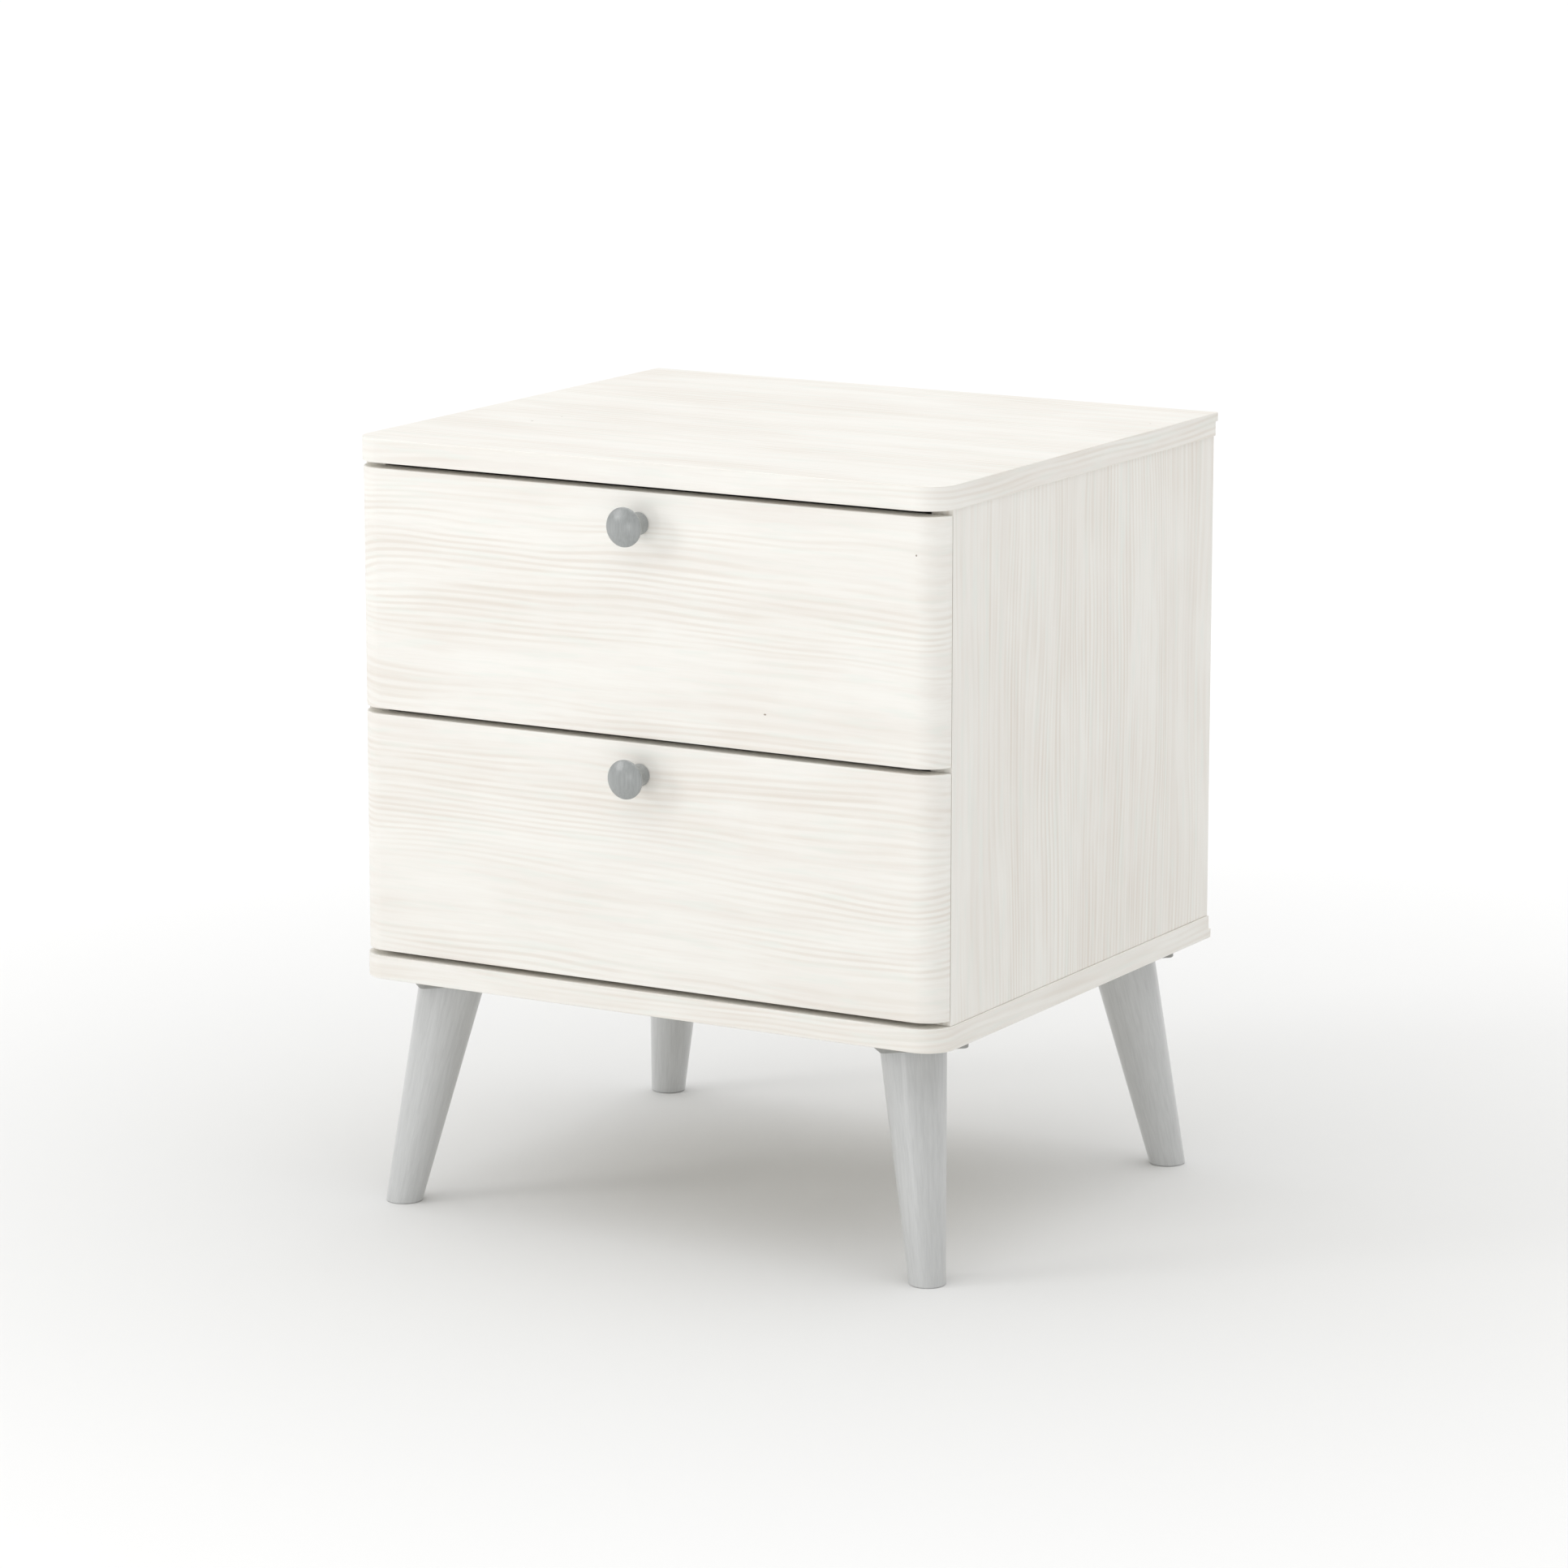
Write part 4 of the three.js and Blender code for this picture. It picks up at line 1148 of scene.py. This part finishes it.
# %% Screws in the case and the drawers
CASE_SHARES = (0.16, 0.5, 0.84)     # places along the fixed runner
DRAWER_SHARES = (0.12, 0.5, 0.88)   # places along the drawer's runner
WEB_FACE = 1.5 * MM                 # face of the fixed runner, from the case side
SCREW_LOW = 1 * MM                  # screws sit a little below the runner's middle
FLANGE_MIDDLE = 6 * MM
KNOB_HEAD = 4.1 * MM
KNOB_SHANK = 1.9 * MM
HEAD_GAP = 0.3 * MM
CAM_ROUND = 0.3 * MM
CASE_HEAD = (4.9 * MM, 1.6 * MM, 2.6 * MM)
CASE_HEAD_SUNK = 2.2 * MM


def places_along(low, high, shares):
    """Y at each share of the way from the front to the rear, numbered from 1."""
    return enumerate((low[Y] + share * (high[Y] - low[Y]) for share in shares), 1)


for level in LEVELS:
    for side, sign in SIDES:
        low, high = box_of(f"{level}_case_runner_{side}")
        x = (high if sign > 0 else low)[X] - sign * WEB_FACE
        z = (low[Z] + high[Z]) / 2 - SCREW_LOW
        for number, y in places_along(low, high, CASE_SHARES):
            add_screw(f"{level}_case_runner_screw_{side}_{number}", "case", INWARD[side],
                      (x, y, z), CASE_RUNNER_SCREW)
        low, high = box_of(f"{level}_drawer_runner_{side}")
        x = (low if sign > 0 else high)[X] + sign * FLANGE_MIDDLE
        for number, y in places_along(low, high, DRAWER_SHARES):
            add_screw(f"{level}_drawer_runner_screw_{side}_{number}", f"{level}_drawer", "down",
                      (x, y, low[Z]), DRAWER_RUNNER_SCREW)
    node = f"{level}_knob_screw"
    low, high = box_of(node)
    x, _, z = middle_of(node)
    y = box_of(f"{level}_drawer_front")[1][Y] + HEAD_GAP
    size = (KNOB_HEAD, (high[Y] - y) / CROWN, KNOB_SHANK, y - low[Y])
    add_screw(node + "_finished", f"{level}_drawer", "back", (x, y, z), size, (node,))

for corner in CORNERS:
    node = f"case_screw_{corner}"
    low, high = box_of(node)
    x, y, _ = middle_of(node)
    z = low[Z] + CASE_HEAD_SUNK
    add_screw(node + "_finished", "case", "down", (x, y, z), (*CASE_HEAD, high[Z] - z), (node,))
    softened(f"cam_lock_{corner}", "zinc", CAM_ROUND)
print("case and drawer screws made")

# %% [markdown]
# ## What holds the boards together
#
# Two small cams near the front of each drawer side grip pins in the drawer front, and two
# screws go through each side into the drawer's back. Dowels keep the case boards in line:
# beech pins with flutes, which let the glue out, and chamfered ends. A flute is a cosine
# around the pin that takes a little off its radius.

# %% Cams, box screws and dowels
CAM_SIZE = np.array([6.0, 0.8, 5.6, 5.5]) * MM
CAM_SUNK = 0.9 * MM
BOX_SCREW_SIZE = np.array([4.0, 1.0, 2.1, 28.0]) * MM
BOX_SCREW_SUNK = 1.3 * MM
CHAMFER = 1 * MM
for fittings, size, sunk in ((drawer_cams, CAM_SIZE, CAM_SUNK),
                             (box_screws, BOX_SCREW_SIZE, BOX_SCREW_SUNK)):
    for name, level, way, place in fittings:
        add_screw(name, f"{level}_drawer", way, place - sunk * TURN[way][:, Z], size)


def dowel_shell(length, flutes=12, depth=0.05):
    """A fluted pin: radius times 1 - depth (1 + cos(flutes angle)) / 2, with chamfered ends."""
    ends = DOWEL_RADIUS - CHAMFER
    profile = [(ends, 0), (DOWEL_RADIUS, CHAMFER), (DOWEL_RADIUS, length - CHAMFER),
               (ends, length)]
    rings = turned_rings(profile, 96)
    angle = np.arctan2(rings[..., Y], rings[..., X])
    rings[..., :2] *= (1 - depth * (1 + np.cos(flutes * angle)) / 2)[..., None]
    return loft(rings)


dowel = dowel_shell(DOWEL_IN_SIDE + DOWEL_IN_PANEL)
for number, (corner, (x, y)) in enumerate(dowel_places.items()):
    for panel, z in (("top", TOP_LOW[Z] - DOWEL_IN_SIDE),
                     ("bottom", SHELF_HIGH[Z] - DOWEL_IN_PANEL)):
        name = f"dowel_{panel}_{corner}"
        mesh = clean_mesh(name, *set_at(dowel, "up", (x, y, z)))
        pin = shade(new_piece(name, mesh, "beech", "case"), sharp=40)
        lay_round_grain(pin, np.array([x, y, z]), UP, number)
print(2 * len(dowel_places), "dowels")

# %% [markdown]
# ## Nails in the back panel
#
# The hardboard back is nailed to the rebates about every 80 mm, along its four edges. A
# nail here is a short shank and a low round head.

# %% Nails
NAIL_EDGE = 8 * MM
NAIL_HEAD = (2.4 * MM, 0.7 * MM)
NAIL_SHANK = 0.7 * MM
NAIL_LENGTH = 2.5 * MM
NAIL_POINT = 0.2 * MM
low, high = box_of("back_panel")
xs = np.linspace(low[X] + NAIL_EDGE, high[X] - NAIL_EDGE, 7)
zs = np.linspace(low[Z] + NAIL_EDGE, high[Z] - NAIL_EDGE, 6)
nails = [(x, z) for x in xs for z in (zs[0], zs[-1])]
nails += [(x, z) for x in (xs[0], xs[-1]) for z in zs[1:-1]]
turn = np.linspace(0, np.pi / 2, 4)
head = np.stack([np.cos(turn), np.sin(turn)], axis=1) * NAIL_HEAD
profile = [(0, -NAIL_LENGTH), (NAIL_SHANK, NAIL_POINT - NAIL_LENGTH), (NAIL_SHANK, 0), *head]
nail = loft(turned_rings(profile, 16))
for number, (x, z) in enumerate(nails, 1):
    mesh = clean_mesh("nail", *set_at(nail, "back", (x, high[Y], z)))
    shade(new_piece(f"back_nail_{number}", mesh, "zinc", "case"), sharp=60)
print(len(nails), "nails,", round((xs[1] - xs[0]) / MM), "mm apart")

# %% [markdown]
# ## Solids that keep their shape
#
# The cam bolts and the leg bolts are hidden in the boards. Their solids stay, with the zinc
# finish.

# %% Finish on the solids that stay
bolts = [solid for node, solid in frame["nodes"].items() if "bolt" in node]
for solid in bolts:
    for material_slot in solid.material_slots:
        material_slot.material = FINISHES["zinc"]
print(len(bolts), "bolts stay")

# %% [markdown]
# ## Floor
#
# A plain pale floor gives a studio look. Under the furniture a wide soft shadow is painted into
# its colour as a light grey, and it turns to white further out, so that it runs into the white
# surround without an edge.

# %% Floor
FLOOR_REACH = 60.0
# The floor's tone is a painted shadow pool: light grey near the furniture, fading to white between
# these distances.
SHADOW_POOL_START, SHADOW_POOL_END = 0.35, 1.9    # distances between which the tone changes
scene = bpy.context.scene
floor_mesh = bpy.data.meshes.new("floor")
ground = np.array([(-1, -1, 0), (1, -1, 0), (1, 1, 0), (-1, 1, 0)]) * FLOOR_REACH
floor_mesh.from_pydata(ground.tolist(), [], [(0, 1, 2, 3)])
floor = bpy.data.objects.new("floor", floor_mesh)
scene.collection.objects.link(floor)
material, shader = new_finish("floor", "Matt white studio floor")
place = add(material, "TexCoord").outputs["Object"]
distance = add(material, "VectorMath", {0: place}, operation="LENGTH")
painted_shadow_fade = add(material, "MapRange", {
    "Value": distance.outputs["Value"], "From Min": SHADOW_POOL_START, "From Max": SHADOW_POOL_END},
    interpolation_type="SMOOTHSTEP")
# The light grey e6e6e5 is the painted shadow under the furniture; the white takes over further
# out.
dress(material, shader, tinted(material, "e6e6e5", ("fbfbfb", 1.0, painted_shadow_fade.outputs[0])))
shader.inputs["Roughness"].default_value = 0.9
shader.inputs["Specular IOR Level"].default_value = 0.1
floor_mesh.materials.append(material)
print("the floor is", 2 * FLOOR_REACH, "m wide")

# %% [markdown]
# ## Light
#
# An even white surround and a broad overhead sun fill every side. A key lamp from the left
# brightens the front and leaves the right side a little darker, and a low lamp in front
# reaches the legs. All are large, so the shadow under the case is wide and soft.

# %% Light
world = bpy.data.worlds.new("White studio")
world.use_nodes = True
surround = world.node_tree.nodes["Background"]
surround.inputs["Color"].default_value = (1.0, 1.0, 1.0, 1.0)
surround.inputs["Strength"].default_value = 0.48
scene.world = world


def soft_lamp(name, place, target, size, power):
    """A square area lamp that looks at its target."""
    data = bpy.data.lights.new(name, "AREA")
    data.size = size
    data.energy = power
    lamp = bpy.data.objects.new(name, data)
    scene.collection.objects.link(lamp)
    away = np.array(place) - np.array(target)
    lamp.location = place
    lamp.visible_camera = False
    lamp.rotation_euler = (math.atan2(math.hypot(away[X], away[Y]), away[Z]), 0,
                           math.atan2(away[X], -away[Y]))


soft_lamp("key_lamp", place=(-3.3, -3.5, 2.0), target=(0, 0, 0.35), size=1.5, power=37.0)
soft_lamp("low_lamp", place=(-0.5, -4.2, 0.4), target=(0, 0, 0.1), size=0.7, power=9.0)
sun = bpy.data.lights.new("overhead", "SUN")
sun.energy = 0.6 * math.pi
sun.angle = math.radians(95)
scene.collection.objects.link(bpy.data.objects.new("overhead", sun))
print(len(bpy.data.lights), "lights")

# %% [markdown]
# ## Camera
#
# A long lens from about 5 m keeps the edges nearly parallel, as in a catalogue. It stands to
# the right of the piece and looks a little down on it, so the top, the front and the right
# side all show. The standard view transform keeps white paint white.

# %% Camera
LOOK_DOWN = math.radians(11.6056)
TURN_LEFT = math.radians(30.0917)
camera_data = bpy.data.cameras.new("camera")
camera_data.sensor_width = 36.0
camera_data.lens = 140.107
camera = bpy.data.objects.new("camera", camera_data)
camera.location = (2.3669, -4.0817, 1.296)
camera.rotation_euler = (math.pi / 2 - LOOK_DOWN, 0, TURN_LEFT)
scene.collection.objects.link(camera)
scene.camera = camera
scene.view_settings.view_transform = "Standard"
print("the camera is", round(camera.location.length, 2), "m away")
